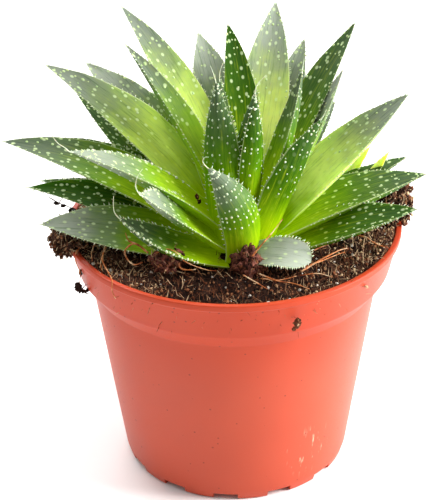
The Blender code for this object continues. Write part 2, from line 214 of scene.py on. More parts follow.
# Green light travels furthest in the flesh; this real scattering adds to the painted glow at a leaf's root.
shader.inputs["Subsurface Radius"].default_value = (0.45, 0.8, 0.12)
along = add(tree, "ShaderNodeAttribute", attribute_name="along").outputs["Fac"]
across = add(tree, "ShaderNodeAttribute", attribute_name="across").outputs["Fac"]
under = add(tree, "ShaderNodeAttribute", attribute_name="under").outputs["Fac"]
skin = add(tree, "ShaderNodeAttribute", attribute_name="skin_place").outputs["Vector"]
habit = add(tree, "ShaderNodeSeparateXYZ", {
    0: add(tree, "ShaderNodeAttribute", attribute_name="habit").outputs["Vector"]
}).outputs
painted_glow_amount, bloom_and_sheen, painted_shade = habit[0], habit[1], habit[2]

axes = add(tree, "ShaderNodeSeparateXYZ", {0: skin}).outputs
streak_space = add(tree, "ShaderNodeVectorMath", {0: skin, 1: (1.0, 0.05, 1.0)}, operation="MULTIPLY")
streaks = add(tree, "ShaderNodeTexNoise", {
    "Vector": streak_space.outputs[0], "Scale": 1 / (0.6 * MM), "Detail": 4.0, "Roughness": 0.7,
}).outputs[0]
patches = add(tree, "ShaderNodeTexNoise", {"Vector": skin, "Scale": 1 / (6.0 * MM), "Detail": 2.0}).outputs[0]
wander = add(tree, "ShaderNodeMath", {
    0: add(tree, "ShaderNodeMath", {0: patches, 1: 0.5}, operation="SUBTRACT").outputs[0], 1: 0.25,
    2: along,
}, operation="MULTIPLY_ADD").outputs[0]

inner_face = add(tree, "ShaderNodeValToRGB", {0: wander}, [
    (0.05, "A4C402"), (0.25, "92B604"), (0.46, "709A10"), (0.62, "547628"), (0.78, "455838"), (1.0, "303B35"),
]).outputs[0]
outer_face = add(tree, "ShaderNodeValToRGB", {0: wander}, [
    (0.05, "A0C002"), (0.26, "86AE02"), (0.46, "5E8E02"), (0.7, "3E680C"), (0.88, "38502C"), (1.0, "3A483C"),
]).outputs[0]
colour = add(tree, "ShaderNodeMix", {
    0: add(
        tree, "ShaderNodeMapRange", {0: under, 1: 0.4, 2: 0.6}, interpolation_type="SMOOTHSTEP",
    ).outputs[0],
    6: inner_face, 7: outer_face,
}, data_type="RGBA").outputs[2]
# The glow mask: it sets the real subsurface weight and also a painted glow.
painted_glow_and_subsurface = add(tree, "ShaderNodeMath", {
    0: add(
        tree, "ShaderNodeMapRange", {0: wander, 1: 0.1, 2: 0.4}, interpolation_type="SMOOTHSTEP",
    ).outputs[0],
    1: add(
        tree, "ShaderNodeMapRange", {0: wander, 1: 0.85, 2: 0.35}, interpolation_type="SMOOTHSTEP",
    ).outputs[0],
}, operation="MULTIPLY").outputs[0]
painted_glow_and_subsurface = add(tree, "ShaderNodeMath", {
    0: painted_glow_and_subsurface, 1: add(tree, "ShaderNodeMath", {0: painted_glow_amount, 1: painted_glow_amount}, operation="MULTIPLY").outputs[0],
}, operation="MULTIPLY").outputs[0]
tree.links.new(
    add(tree, "ShaderNodeMath", {0: painted_glow_and_subsurface, 1: 0.7, 2: 0.05}, operation="MULTIPLY_ADD").outputs[0],
    shader.inputs["Subsurface Weight"],
)
# Painted glow: the colour turns pale yellow-green under the glow mask, as if lit through the flesh.
colour = add(tree, "ShaderNodeMix", {0: painted_glow_and_subsurface, 6: colour, 7: linear("E0F082")}, data_type="RGBA").outputs[2]
# Grey wax bloom towards the tip, partly a painted grey sheen of reflected light; it also makes the skin
# rougher.
wax_and_sheen = add(tree, "ShaderNodeMath", {
    0: bloom_and_sheen,
    1: add(
        tree, "ShaderNodeMapRange", {0: wander, 1: 0.42, 2: 0.95}, interpolation_type="SMOOTHSTEP",
    ).outputs[0],
}, operation="MULTIPLY").outputs[0]
colour = add(tree, "ShaderNodeMix", {0: wax_and_sheen, 6: colour, 7: linear("AEB6A6")}, data_type="RGBA").outputs[2]
# Painted shade: each leaf's depth number darkens it towards the tip, for leaves that lie in the shadow of
# others.
colour = add(tree, "ShaderNodeMix", {
    0: add(tree, "ShaderNodeMath", {
        0: painted_shade,
        1: add(
            tree, "ShaderNodeMapRange", {0: along, 1: 0.05, 2: 0.5}, interpolation_type="SMOOTHSTEP",
        ).outputs[0],
    }, operation="MULTIPLY").outputs[0],
    6: colour, 7: linear("2C5206"),
}, data_type="RGBA").outputs[2]

light_streaks = add(tree, "ShaderNodeMath", {
    0: add(
        tree, "ShaderNodeMapRange", {0: streaks, 1: 0.52, 2: 0.68}, interpolation_type="SMOOTHSTEP",
    ).outputs[0],
    1: 0.4,
}, operation="MULTIPLY").outputs[0]
light_streaks = add(tree, "ShaderNodeMath", {
    0: light_streaks, 1: add(tree, "ShaderNodeMath", {0: 1.1, 1: along}, operation="SUBTRACT").outputs[0],
}, operation="MULTIPLY").outputs[0]
colour = add(tree, "ShaderNodeMix", {
    0: light_streaks, 6: colour, 7: linear("CEDC26"),
}, data_type="RGBA").outputs[2]
dark_streaks = add(tree, "ShaderNodeMath", {
    0: add(
        tree, "ShaderNodeMapRange", {0: streaks, 1: 0.48, 2: 0.32}, interpolation_type="SMOOTHSTEP",
    ).outputs[0],
    1: 0.45,
}, operation="MULTIPLY").outputs[0]
colour = add(tree, "ShaderNodeMix", {
    0: dark_streaks, 6: colour,
    7: add(
        tree, "ShaderNodeMix", {0: 1.0, 6: colour, 7: linear("6F9A3E")}, data_type="RGBA",
        blend_type="MULTIPLY",
    ).outputs[2],
}, data_type="RGBA").outputs[2]
fleck_height = add(
    tree, "ShaderNodeMath", {0: axes[1], 1: 0.7, 2: axes[2]}, operation="MULTIPLY_ADD",
).outputs[0]
fleck_space = add(tree, "ShaderNodeCombineXYZ", {0: axes[0], 1: fleck_height}).outputs[0]
fleck_cells = add(tree, "ShaderNodeTexVoronoi", {
    "Vector": fleck_space, "Scale": 1 / (3.7 * MM), "Randomness": 0.75,
}, voronoi_dimensions="2D").outputs[0]
flecks = add(tree, "ShaderNodeMath", {
    0: add(
        tree, "ShaderNodeMapRange", {0: fleck_cells, 1: 0.18, 2: 0.08}, interpolation_type="SMOOTHSTEP",
    ).outputs[0],
    1: add(
        tree, "ShaderNodeMapRange", {0: along, 1: 0.15, 2: 0.4}, interpolation_type="SMOOTHSTEP",
    ).outputs[0],
}, operation="MULTIPLY").outputs[0]
flecks = add(tree, "ShaderNodeMath", {
    0: flecks,
    1: add(tree, "ShaderNodeMath", {
        0: 0.7, 1: add(tree, "ShaderNodeMath", {0: under, 1: 0.6}, operation="MULTIPLY").outputs[0],
    }, operation="SUBTRACT").outputs[0],
}, operation="MULTIPLY").outputs[0]
colour = add(tree, "ShaderNodeMix", {
    0: flecks, 6: colour,
    7: add(tree, "ShaderNodeMix", {
        0: add(
            tree, "ShaderNodeMapRange", {0: along, 1: 0.3, 2: 0.6}, interpolation_type="SMOOTHSTEP",
        ).outputs[0],
        6: linear("C4DA50"), 7: linear("CBDDA8"),
    }, data_type="RGBA").outputs[2],
}, data_type="RGBA").outputs[2]
edge = add(tree, "ShaderNodeMapRange", {
    0: add(tree, "ShaderNodeMath", {0: across}, operation="ABSOLUTE").outputs[0], 1: 0.955, 2: 0.985,
}, interpolation_type="SMOOTHSTEP").outputs[0]
colour = add(tree, "ShaderNodeMix", {
    0: add(tree, "ShaderNodeMath", {0: edge, 1: 0.5}, operation="MULTIPLY").outputs[0], 6: colour,
    7: linear("BCCB92"),
}, data_type="RGBA").outputs[2]
tree.links.new(colour, shader.inputs["Base Color"])
# Painted glow: the skin gives off a little light of its own colour near the root and under the glow mask, as
# if light soaked through the juicy flesh and lifted the shade between the leaves.
tree.links.new(colour, shader.inputs["Emission Color"])
painted_glow_emission = add(tree, "ShaderNodeMath", {
    0: painted_glow_and_subsurface, 1: 0.15,
    2: add(tree, "ShaderNodeMath", {
        0: add(
            tree, "ShaderNodeMapRange", {0: along, 1: 0.5, 2: 0.0}, interpolation_type="SMOOTHSTEP",
        ).outputs[0],
        1: 0.08,
    }, operation="MULTIPLY").outputs[0],
}, operation="MULTIPLY_ADD").outputs[0]
tree.links.new(painted_glow_emission, shader.inputs["Emission Strength"])

pores = add(tree, "ShaderNodeTexNoise", {"Vector": skin, "Scale": 1 / (0.35 * MM), "Detail": 1.0}).outputs[0]
sheen_break = add(tree, "ShaderNodeMath", {0: pores, 1: 0.14, 2: 0.40}, operation="MULTIPLY_ADD").outputs[0]
tree.links.new(
    add(tree, "ShaderNodeMath", {0: wax_and_sheen, 1: 0.2, 2: sheen_break}, operation="MULTIPLY_ADD").outputs[0],
    shader.inputs["Roughness"],
)
relief = add(tree, "ShaderNodeMath", {0: pores, 1: 0.35, 2: streaks}, operation="MULTIPLY_ADD").outputs[0]
bump = add(tree, "ShaderNodeBump", {"Height": relief, "Strength": 0.22, "Distance": 0.25 * MM})
tree.links.new(bump.outputs[0], shader.inputs["Normal"])
print("leaf skin:", len(tree.nodes), "nodes")

# %% [markdown]
# ## Teeth and bumps
# The teeth on the margins and the bumps on both faces are the same white, horny tissue, a little see-through
# where it is thin. A faint unevenness from white to green-white keeps them from looking like plastic beads.

# %% Material: white horny tissue
horn, tree, shader = plain_material(
    "white_leaf_cartilage", Roughness=0.5, Subsurface_Weight=0.15, Subsurface_Scale=0.001,
)
# A soft, slightly see-through white that catches light at the leaf's outline.
place = add(tree, "ShaderNodeTexCoord").outputs["Object"]
colour = add(tree, "ShaderNodeValToRGB", {
    0: add(tree, "ShaderNodeTexNoise", {"Vector": place, "Scale": 1 / (1.5 * MM)}).outputs[0]
}, [(0.3, "B4C496"), (0.6, "DBE4C8")]).outputs[0]
tree.links.new(colour, shader.inputs["Base Color"])
print("cartilage:", len(tree.nodes), "nodes")

# %% Material: pale green spots
spot_skin, tree, shader = plain_material(
    "pale_leaf_spot", Roughness=0.5, Subsurface_Weight=0.1, Subsurface_Scale=0.001, Specular_IOR_Level=0.2,
)
# The spots on the inner face are greener than the teeth, so they look set into the skin.
place = add(tree, "ShaderNodeTexCoord").outputs["Object"]
colour = add(tree, "ShaderNodeValToRGB", {
    0: add(tree, "ShaderNodeTexNoise", {"Vector": place, "Scale": 1 / (2.0 * MM)}).outputs[0]
}, [(0.3, "A4BE7A"), (0.65, "C8DA9E")]).outputs[0]
tree.links.new(colour, shader.inputs["Base Color"])
print("spots:", len(tree.nodes), "nodes")

# %% [markdown]
# ## The blades
# One leaf is a flat-topped, keeled blade that bows along its midrib. Its midrib is a quadratic Bezier curve
# from the crown to the tip. Rings of points are laid square to that curve: their width swells and then
# tapers, their upper side is cupped and their underside bulges. This is the rule that the CAD leaves
# follow too, so each fine blade lies on its CAD leaf. Plain mesh code suits this better than modelling by
# hand, because forty leaves differ only in a row of numbers.

# %% The leaves' table
CROWN = (2.0, -14.0)
WHORLS = {"heart": (3.0, 108.0), "inner": (6.0, 105.0), "middle": (8.0, 101.0), "outer": (10.5, 96.5),
          "low": (13.5, 92.5)}
CUP = 0.12
# whorl, seat, bearing, reach, height, arch, sweep, width, roll, cup, then habit: glow, bloom, depth
# the habit is painted: glow is a painted glow, bloom a wax bloom with a painted sheen, depth a painted shade
# The rows of the leaves in view are rounded results of a least-squares fit of each blade to its outline.
LEAVES = (
    ("heart", 130, 117, 14, 149, -2, 0, 9, 5, CUP, 0.1, 0.1, 0.3),
    ("heart", 200, 20, 6, 148, -2, 1, 9, 0, CUP, 0.1, 0.1, 0.3),
    ("heart", 20, 60, 4, 136, 0, 0, 6, 0, CUP, 0.1, 0.0, 0.3),
    ("inner", 150, 145, 48, 156, 5, 0, 11, 0, 0.30, 0.3, 0.3, 0.0),
    ("inner", 300, 325, 7, 149, -4, -1, 10, 5, CUP, 0.0, 0.0, 0.4),
    ("inner", 95, 94, 51, 154, 3, -6, 13, 0, CUP, 0.1, 0.0, 0.8),
    ("inner", 350, 35, 27, 151, -4, 0, 12, 25, 0.20, 0.1, 0.2, 0.2),
    ("middle", 125, 128, 68, 160, 7, -7, 16, 0, CUP, 0.75, 0.4, 0.0),
    ("middle", 155, 154, 76, 146, 10, -3, 18, -15, CUP, 0.65, 0.4, 0.0),
    ("middle", 210, 203, 60, 139, 7, -2, 16, -15, CUP, 0.2, 0.6, 0.0),
    ("middle", 80, 77, 63, 158, 7, -3, 19, 5, CUP, 0.93, 0.7, 0.0),
    ("middle", 45, 47, 62, 156, 3, 1, 15, 0, CUP, 0.1, 0.2, 0.6),
    ("outer", 135, 135, 79, 137, 8, -3, 20, -20, CUP, 0.2, 0.8, 0.0),
    ("outer", 175, 170, 84, 125, 11, -2, 19, -20, CUP, 0.1, 0.2, 0.1),
    ("outer", 155, 154, 73, 118, 7, -3, 15, -10, CUP, 0.0, 0.1, 0.5),
    ("outer", 235, 224, 45, 127, 3, -5, 16, -40, CUP, 0.1, 0.8, 0.25),
    ("outer", 250, 139, 10, 150, -6, 1, 15, -5, CUP, 0.0, 0.1, 0.1),
    ("outer", 105, 103, 64, 146, 7, -3, 20, -5, CUP, 0.2, 0.9, 0.0),
    ("outer", 65, 65, 58, 147, 5, -1, 16, 5, CUP, 0.2, 0.7, 0.0),
    ("outer", 35, 38, 47, 145, 2, -4, 12, -10, CUP, 0.4, 0.5, 0.0),
    ("outer", 318, 356, 28, 140, 3, -1, 16, -5, CUP, 0.0, 0.1, 0.7),
    ("outer", 15, 24, 66, 136, 2, 1, 20, 10, CUP, 0.95, 0.4, 0.0),
    ("outer", 345, 10, 67, 112, 5, 0, 22, 10, CUP, 0.2, 0.1, 0.45),
    ("outer", 118, 117, 72, 130, 6, 0, 17, 0, CUP, 0.2, 0.4, 0.0),
    ("outer", 85, 88, 62, 127, 5, 0, 17, 0, CUP, 0.2, 0.4, 0.0),
    ("outer", 52, 52, 58, 125, 5, 0, 16, 0, CUP, 0.2, 0.4, 0.0),
    ("low", 150, 137, 82, 125, 3, -1, 16, -10, CUP, 0.0, 0.1, 0.6),
    ("low", 180, 168, 77, 106, 9, -2, 15, -25, CUP, 0.0, 0.1, 1.0),
    ("low", 165, 159, 77, 103, 5, -2, 15, -10, CUP, 0.0, 0.1, 0.6),
    ("low", 205, 190, 69, 106, 2, -5, 20, -30, CUP, 0.2, 0.8, 0.0),
    ("low", 250, 211, 47, 115, -4, -6, 14, -50, CUP, 0.1, 0.3, 0.45),
    ("low", 275, 228, 16, 127, -7, 10, 15, 25, CUP, 0.1, 0.5, 0.25),
    ("low", 25, 23, 66, 112, 3, 0, 15, -5, CUP, 0.0, 0.1, 0.6),
    ("low", 335, 346, 62, 112, 2, 1, 17, 20, CUP, 0.0, 0.0, 0.8),
    ("low", 120, 116, 64, 113, 5, 0, 16, 0, CUP, 0.1, 0.3, 0.2),
    ("low", 95, 93, 60, 108, 4, 0, 16, 0, CUP, 0.1, 0.3, 0.2),
    ("low", 70, 66, 62, 112, 5, 0, 16, 0, CUP, 0.1, 0.3, 0.2),
    ("low", 45, 45, 60, 108, 4, 0, 15, 0, CUP, 0.1, 0.3, 0.2),
)
print("leaves in the table:", len(LEAVES))

# %% The rule that shapes a blade
WIDEST_AT = 0.42
ROOT_WIDTH = 0.88
UPPER_CROWN = 0.03
KEEL = 0.22
TAPER = 1.9
RINGS = 44
FACE_STEPS = 14


def blade_width(t, taper):
    rising = ROOT_WIDTH + (1 - ROOT_WIDTH) * np.sin(np.pi / 2 * np.clip(t / WIDEST_AT, 0, 1))
    falling = 1 - np.clip((t - WIDEST_AT) / (1 - WIDEST_AT), 0, 1) ** taper
    return np.where(t < WIDEST_AT, rising, falling)


def crown_point(angle, radius, height):
    turn = math.radians(angle)
    return np.array([CROWN[0] + radius * math.cos(turn), CROWN[1] + radius * math.sin(turn), height])


def unit(vectors):
    return vectors / np.linalg.norm(vectors, axis=-1, keepdims=True)


def bowed(root, tip, seat, arch, sweep, roll):
    """The midrib as a function of t from 0 to 1: point, sideways axis, inward axis, heading."""
    along = unit(tip - root)
    turn = math.radians(seat)
    side = np.array([-math.sin(turn), math.cos(turn), 0.0])
    side = unit(side - (side @ along) * along)
    knee = (root + tip) / 2 + np.cross(along, side) * arch + side * sweep
    tilt = math.radians(roll)

    def rib(t):
        t = np.asarray(t, float)[:, None]
        point = (1 - t) ** 2 * root + 2 * t * (1 - t) * knee + t * t * tip
        heading = unit(2 * (1 - t) * (knee - root) + 2 * t * (tip - knee))
        sideways = unit(side - (heading @ side)[:, None] * heading)
        up = np.cross(heading, sideways)
        turned = sideways * math.cos(tilt) + up * math.sin(tilt)
        return point, turned, up * math.cos(tilt) - sideways * math.sin(tilt), heading

    return rib


def blade_mesh(name, rib, width, cup, taper, habit, number):
    """A closed blade with its skin map: u runs 0 to 1 over the inner face and 1 to 2 back under it."""
    t = (1 - np.cos(np.linspace(0, np.pi, RINGS + 1)[1:-1])) / 2
    point, sideways, up, heading = rib(t)
    steps = np.arange(2 * FACE_STEPS)
    s = np.where(steps < FACE_STEPS, -np.cos(np.pi * steps / FACE_STEPS),
                 np.cos(np.pi * (steps - FACE_STEPS) / FACE_STEPS))
    lower = steps > FACE_STEPS
    blade = np.maximum(width * blade_width(t, taper), 0.3)[:, None]
    bulge = np.clip(1 - s * s, 0, 1)
    thickness = np.where(lower, -KEEL * bulge ** 0.8, UPPER_CROWN * np.sqrt(bulge))
    lift = cup * blade * s * s + thickness * blade
    out = s * blade / 2
    for i in range(len(t)):
        wave = noise.noise(Vector((number * 7.3, t[i] * 9.0, 0.0)))
        out[i] *= 1 + 0.035 * wave
        lift[i] += 0.25 * wave * s * s
    places = point[:, None] + sideways[:, None] * out[..., None] + up[:, None] * lift[..., None]
    ring = 2 * FACE_STEPS
    points = list(places.reshape(-1, 3))
    ends, *_ = rib([0.0, 1.0])
    points += [ends[0], ends[1]]
    faces, uvs = [], []
    for i in range(len(t) - 1):
        for j in range(ring):
            k = (j + 1) % ring
            faces.append((i * ring + j, i * ring + k, (i + 1) * ring + k, (i + 1) * ring + j))
            uvs += [(j, t[i]), (j + 1, t[i]), (j + 1, t[i + 1]), (j, t[i + 1])]
    last = (len(t) - 1) * ring
    for j in range(ring):
        k = (j + 1) % ring
        faces.append((len(points) - 2, k, j))
        uvs += [(j + 0.5, 0.0), (j + 1, t[0]), (j, t[0])]
        faces.append((len(points) - 1, last + j, last + k))
        uvs += [(j + 0.5, 1.0), (j, t[-1]), (j + 1, t[-1])]
    mesh = bpy.data.meshes.new(name)
    mesh.from_pydata([tuple(p) for p in metres(points)], [], faces)
    mesh.shade_smooth()
    mesh.materials.append(leaf_skin)
    layer = mesh.uv_layers.new(name="skin_map")
    layer.uv.foreach_set("vector", np.array([(u / FACE_STEPS, v) for u, v in uvs], np.float32).ravel())

    length = np.linalg.norm(np.diff(rib(np.linspace(0, 1, 40))[0], axis=0), axis=1).sum()
    along = np.append(np.repeat(t, ring), [0.0, 1.0])
    span = np.append(np.tile(s, len(t)), [0.0, 0.0])
    facing = np.append(
        np.tile(np.where(lower, 1.0, np.where(np.abs(s) > 0.999, 0.5, 0.0)), len(t)), [0.5, 0.5],
    )
    skin_place = np.stack([np.append(out.ravel(), [0, 0]) + 40 * facing, along * length,
                           np.full(len(along), 17.0 * number)], axis=1) * MM
    store(mesh, "along", along)
    store(mesh, "across", span)
    store(mesh, "under", facing)
    store(mesh, "skin_place", skin_place)
    store(mesh, "habit", np.tile(habit, (len(along), 1)))
    outward = np.concatenate([np.repeat(sideways, ring, axis=0), sideways[[0, -1]]])
    onward = np.concatenate([np.repeat(heading, ring, axis=0), heading[[0, -1]]])
    store(mesh, "sideways", outward)
    store(mesh, "onward", onward)
    return mesh, length


print("a blade has", RINGS - 1, "rings of", 2 * FACE_STEPS, "points")

# %% [markdown]
# ## Lace: teeth on the margins, bumps on the faces
# The plant's common name comes from this lace. It repeats by a rule, so Geometry Nodes place it: a line of
# points is counted out, each point gets a place on the leaf's skin map, and a small cone or dome is
# instanced there. Sampling the leaf by its skin map makes the rows follow the blade as it bends. Rows
# across the leaf sag towards the root in the middle, as on the real plant.

# %% Geometry Nodes: the lace of one leaf


def start_tree(name, inputs):
    """An empty Geometry Nodes tree with a geometry in and out, and named inputs."""
    made = bpy.data.node_groups.new(name, "GeometryNodeTree")
    made.interface.new_socket("Geometry", in_out="OUTPUT", socket_type="NodeSocketGeometry")
    made.interface.new_socket("Geometry", in_out="INPUT", socket_type="NodeSocketGeometry")
    for label, (kind, value) in inputs.items():
        socket = made.interface.new_socket(label, in_out="INPUT", socket_type=f"NodeSocket{kind}")
        if value is not None:
            socket.default_value = value
    return made, made.nodes.new("NodeGroupInput").outputs, made.nodes.new("NodeGroupOutput")


def from_skin(tree, leaf, value, u, v):
    """What the leaf's mesh holds at a place of its skin map."""
    skin_map = add(tree, "GeometryNodeInputNamedAttribute", {0: "skin_map"}, data_type="FLOAT_VECTOR")
    spot = add(tree, "ShaderNodeCombineXYZ", {0: u, 1: v})
    sampled = add(tree, "GeometryNodeSampleUVSurface", {
        "Mesh": leaf, "Value": value, "Source UV Map": skin_map.outputs[0], "Sample UV": spot.outputs[0],
    }, data_type="FLOAT_VECTOR")
    return sampled.outputs[0]


def counted_points(tree, count):
    """Points in a line, to be moved to their places, and their numbers."""
    line = add(tree, "GeometryNodeMeshLine", {"Count": count})
    return line.outputs[0], add(tree, "GeometryNodeInputIndex").outputs[0]


def tooth_branch(tree, leaf, given):
    """Small cones along both margins, leaning towards the tip."""
    points, index = counted_points(
        tree, add(tree, "ShaderNodeMath", {0: given["Teeth"], 1: 2.0}, operation="MULTIPLY").outputs[0],
    )
    side = add(tree, "ShaderNodeMath", {0: index, 1: 2.0}, operation="MODULO").outputs[0]
    step = add(tree, "ShaderNodeMath", {
        0: add(tree, "ShaderNodeMath", {0: index, 1: 2.0}, operation="DIVIDE").outputs[0]
    }, operation="FLOOR").outputs[0]
    shift = add(
        tree, "FunctionNodeRandomValue", {2: 0.1, 3: 0.9, 8: given["Seed"]}, data_type="FLOAT",
    ).outputs[1]
    share = add(tree, "ShaderNodeMath", {
        0: add(tree, "ShaderNodeMath", {0: step, 1: shift}, operation="ADD").outputs[0], 1: given["Teeth"],
    }, operation="DIVIDE").outputs[0]
    v = add(tree, "ShaderNodeMath", {0: share, 1: 0.79, 2: 0.2}, operation="MULTIPLY_ADD").outputs[0]
    u = add(tree, "ShaderNodeMath", {0: side, 1: 0.994, 2: 0.003}, operation="MULTIPLY_ADD").outputs[0]
    out = add(tree, "ShaderNodeMath", {0: side, 1: 2.0, 2: -1.0}, operation="MULTIPLY_ADD").outputs[0]
    place = from_skin(tree, leaf, add(tree, "GeometryNodeInputPosition").outputs[0], u, v)
    sideways = from_skin(
        tree, leaf,
        add(tree, "GeometryNodeInputNamedAttribute", {0: "sideways"}, data_type="FLOAT_VECTOR").outputs[0],
        u, v,
    )
    onward = from_skin(
        tree, leaf,
        add(tree, "GeometryNodeInputNamedAttribute", {0: "onward"}, data_type="FLOAT_VECTOR").outputs[0], u,
        v,
    )
    lean = add(tree, "FunctionNodeRandomValue", {
        2: 0.2, 3: 0.9,
        8: add(tree, "ShaderNodeMath", {0: given["Seed"], 1: 1.0}, operation="ADD").outputs[0],
    }, data_type="FLOAT").outputs[1]
    heading = add(tree, "ShaderNodeVectorMath", {
        0: add(tree, "ShaderNodeVectorMath", {0: sideways, 3: out}, operation="SCALE").outputs[0],
        1: add(tree, "ShaderNodeVectorMath", {0: onward, 3: lean}, operation="SCALE").outputs[0],
    }, operation="ADD").outputs[0]
    placed = add(tree, "GeometryNodeSetPosition", {"Geometry": points, "Position": place})
    turn = add(tree, "FunctionNodeAlignRotationToVector", {"Vector": heading}, axis="Z")
    size = add(tree, "FunctionNodeRandomValue", {
        2: 0.55, 3: 1.15,
        8: add(tree, "ShaderNodeMath", {0: given["Seed"], 1: 2.0}, operation="ADD").outputs[0],
    }, data_type="FLOAT").outputs[1]
    cone = add(tree, "GeometryNodeMeshCone", {
        "Vertices": 5, "Radius Bottom": add(
            tree, "ShaderNodeMath", {0: given["Tooth Length"], 1: 0.22}, operation="MULTIPLY",
        ).outputs[0],
        "Radius Top": 0.0, "Depth": given["Tooth Length"],
    }, fill_type="NGON")
    return add(tree, "GeometryNodeInstanceOnPoints", {
        "Points": placed.outputs[0], "Instance": cone.outputs[0], "Rotation": turn.outputs[0], "Scale": size,
    }).outputs[0]


def bump_branch(tree, leaf, given, face, rows, row_bumps, start, end, size, sag, keep, shape):
    """Rows of low domes across one face: 0 is the inner face and 1 the outer face."""
    points, index = counted_points(
        tree, add(tree, "ShaderNodeMath", {0: rows, 1: row_bumps}, operation="MULTIPLY").outputs[0],
    )
    row = add(tree, "ShaderNodeMath", {
        0: add(tree, "ShaderNodeMath", {0: index, 1: row_bumps}, operation="DIVIDE").outputs[0]
    }, operation="FLOOR").outputs[0]
    column = add(tree, "ShaderNodeMath", {0: index, 1: row_bumps}, operation="MODULO").outputs[0]
    seed = add(tree, "ShaderNodeMath", {0: given["Seed"], 1: 10.0 + 20.0 * face}, operation="ADD").outputs[0]
    column_shift = add(
        tree, "FunctionNodeRandomValue", {2: 0.36, 3: 0.64, 8: seed}, data_type="FLOAT",
    ).outputs[1]
    share = add(tree, "ShaderNodeMath", {
        0: add(tree, "ShaderNodeMath", {0: column, 1: column_shift}, operation="ADD").outputs[0],
        1: row_bumps,
    }, operation="DIVIDE").outputs[0]
    u = add(tree, "ShaderNodeMath", {0: share, 1: 0.84, 2: 0.08 + face}, operation="MULTIPLY_ADD").outputs[0]
    row_shift = add(tree, "FunctionNodeRandomValue", {
        2: 0.2, 3: 0.8, 8: add(tree, "ShaderNodeMath", {0: seed, 1: 1.0}, operation="ADD").outputs[0],
        7: row,
    }, data_type="FLOAT").outputs[1]
    own_shift = add(tree, "FunctionNodeRandomValue", {
        2: -0.07, 3: 0.07, 8: add(tree, "ShaderNodeMath", {0: seed, 1: 2.0}, operation="ADD").outputs[0],
    }, data_type="FLOAT").outputs[1]
    height = add(tree, "ShaderNodeMath", {
        0: add(tree, "ShaderNodeMath", {0: row, 1: row_shift}, operation="ADD").outputs[0], 1: own_shift,
    }, operation="ADD").outputs[0]
    v = add(tree, "ShaderNodeMath", {
        0: add(tree, "ShaderNodeMath", {0: height, 1: rows}, operation="DIVIDE").outputs[0], 1: end - start,
        2: start,
    }, operation="MULTIPLY_ADD").outputs[0]
    bow = add(tree, "ShaderNodeMath", {
        0: add(tree, "ShaderNodeMath", {0: share, 1: 2.0, 2: -1.0}, operation="MULTIPLY_ADD").outputs[0],
        1: 2.0,
    }, operation="POWER").outputs[0]
    v = add(tree, "ShaderNodeMath", {
        0: add(tree, "ShaderNodeMath", {0: bow, 1: sag, 2: v}, operation="MULTIPLY_ADD").outputs[0],
        1: 0.985,
    }, operation="MINIMUM").outputs[0]
    place = from_skin(tree, leaf, add(tree, "GeometryNodeInputPosition").outputs[0], u, v)
    normal = from_skin(tree, leaf, add(tree, "GeometryNodeInputNormal").outputs[0], u, v)
    onward = from_skin(
        tree, leaf,
        add(tree, "GeometryNodeInputNamedAttribute", {0: "onward"}, data_type="FLOAT_VECTOR").outputs[0], u,
        v,
    )
    chosen = add(tree, "ShaderNodeMath", {
        0: add(tree, "FunctionNodeRandomValue", {
            2: 0.0, 3: 1.0, 8: add(tree, "ShaderNodeMath", {0: seed, 1: 3.0}, operation="ADD").outputs[0],
        }, data_type="FLOAT").outputs[1],
        1: keep,
    }, operation="LESS_THAN").outputs[0]
    placed = add(tree, "GeometryNodeSetPosition", {"Geometry": points, "Position": place})
    turn = add(
        tree, "FunctionNodeAxesToRotation", {0: normal, 1: onward}, primary_axis="Z", secondary_axis="X",
    )
    grow = add(tree, "FunctionNodeRandomValue", {
        2: 0.6, 3: 1.2, 8: add(tree, "ShaderNodeMath", {0: seed, 1: 4.0}, operation="ADD").outputs[0],
    }, data_type="FLOAT").outputs[1]
    shape = add(tree, "ShaderNodeVectorMath", {0: shape, 3: grow}, operation="SCALE")
    dome = add(tree, "GeometryNodeMeshUVSphere", {"Segments": 7, "Rings": 4, "Radius": size})
    return add(tree, "GeometryNodeInstanceOnPoints", {
        "Points": placed.outputs[0], "Selection": chosen, "Instance": dome.outputs[0],
        "Rotation": turn.outputs[0], "Scale": shape.outputs[0],
    }).outputs[0]


def finished(tree, branches, given, result):
    """Joins the branches, makes them real and gives them their material."""
    gathered = add(tree, "GeometryNodeJoinGeometry")
    for branch in branches:
        tree.links.new(branch, gathered.inputs[0])
    real = add(tree, "GeometryNodeRealizeInstances", {0: gathered.outputs[0]})
    rounded = add(tree, "GeometryNodeSetShadeSmooth", {0: real.outputs[0]})
    painted = add(tree, "GeometryNodeSetMaterial", {0: rounded.outputs[0], 2: given["Material"]})
    tree.links.new(painted.outputs[0], result.inputs[0])


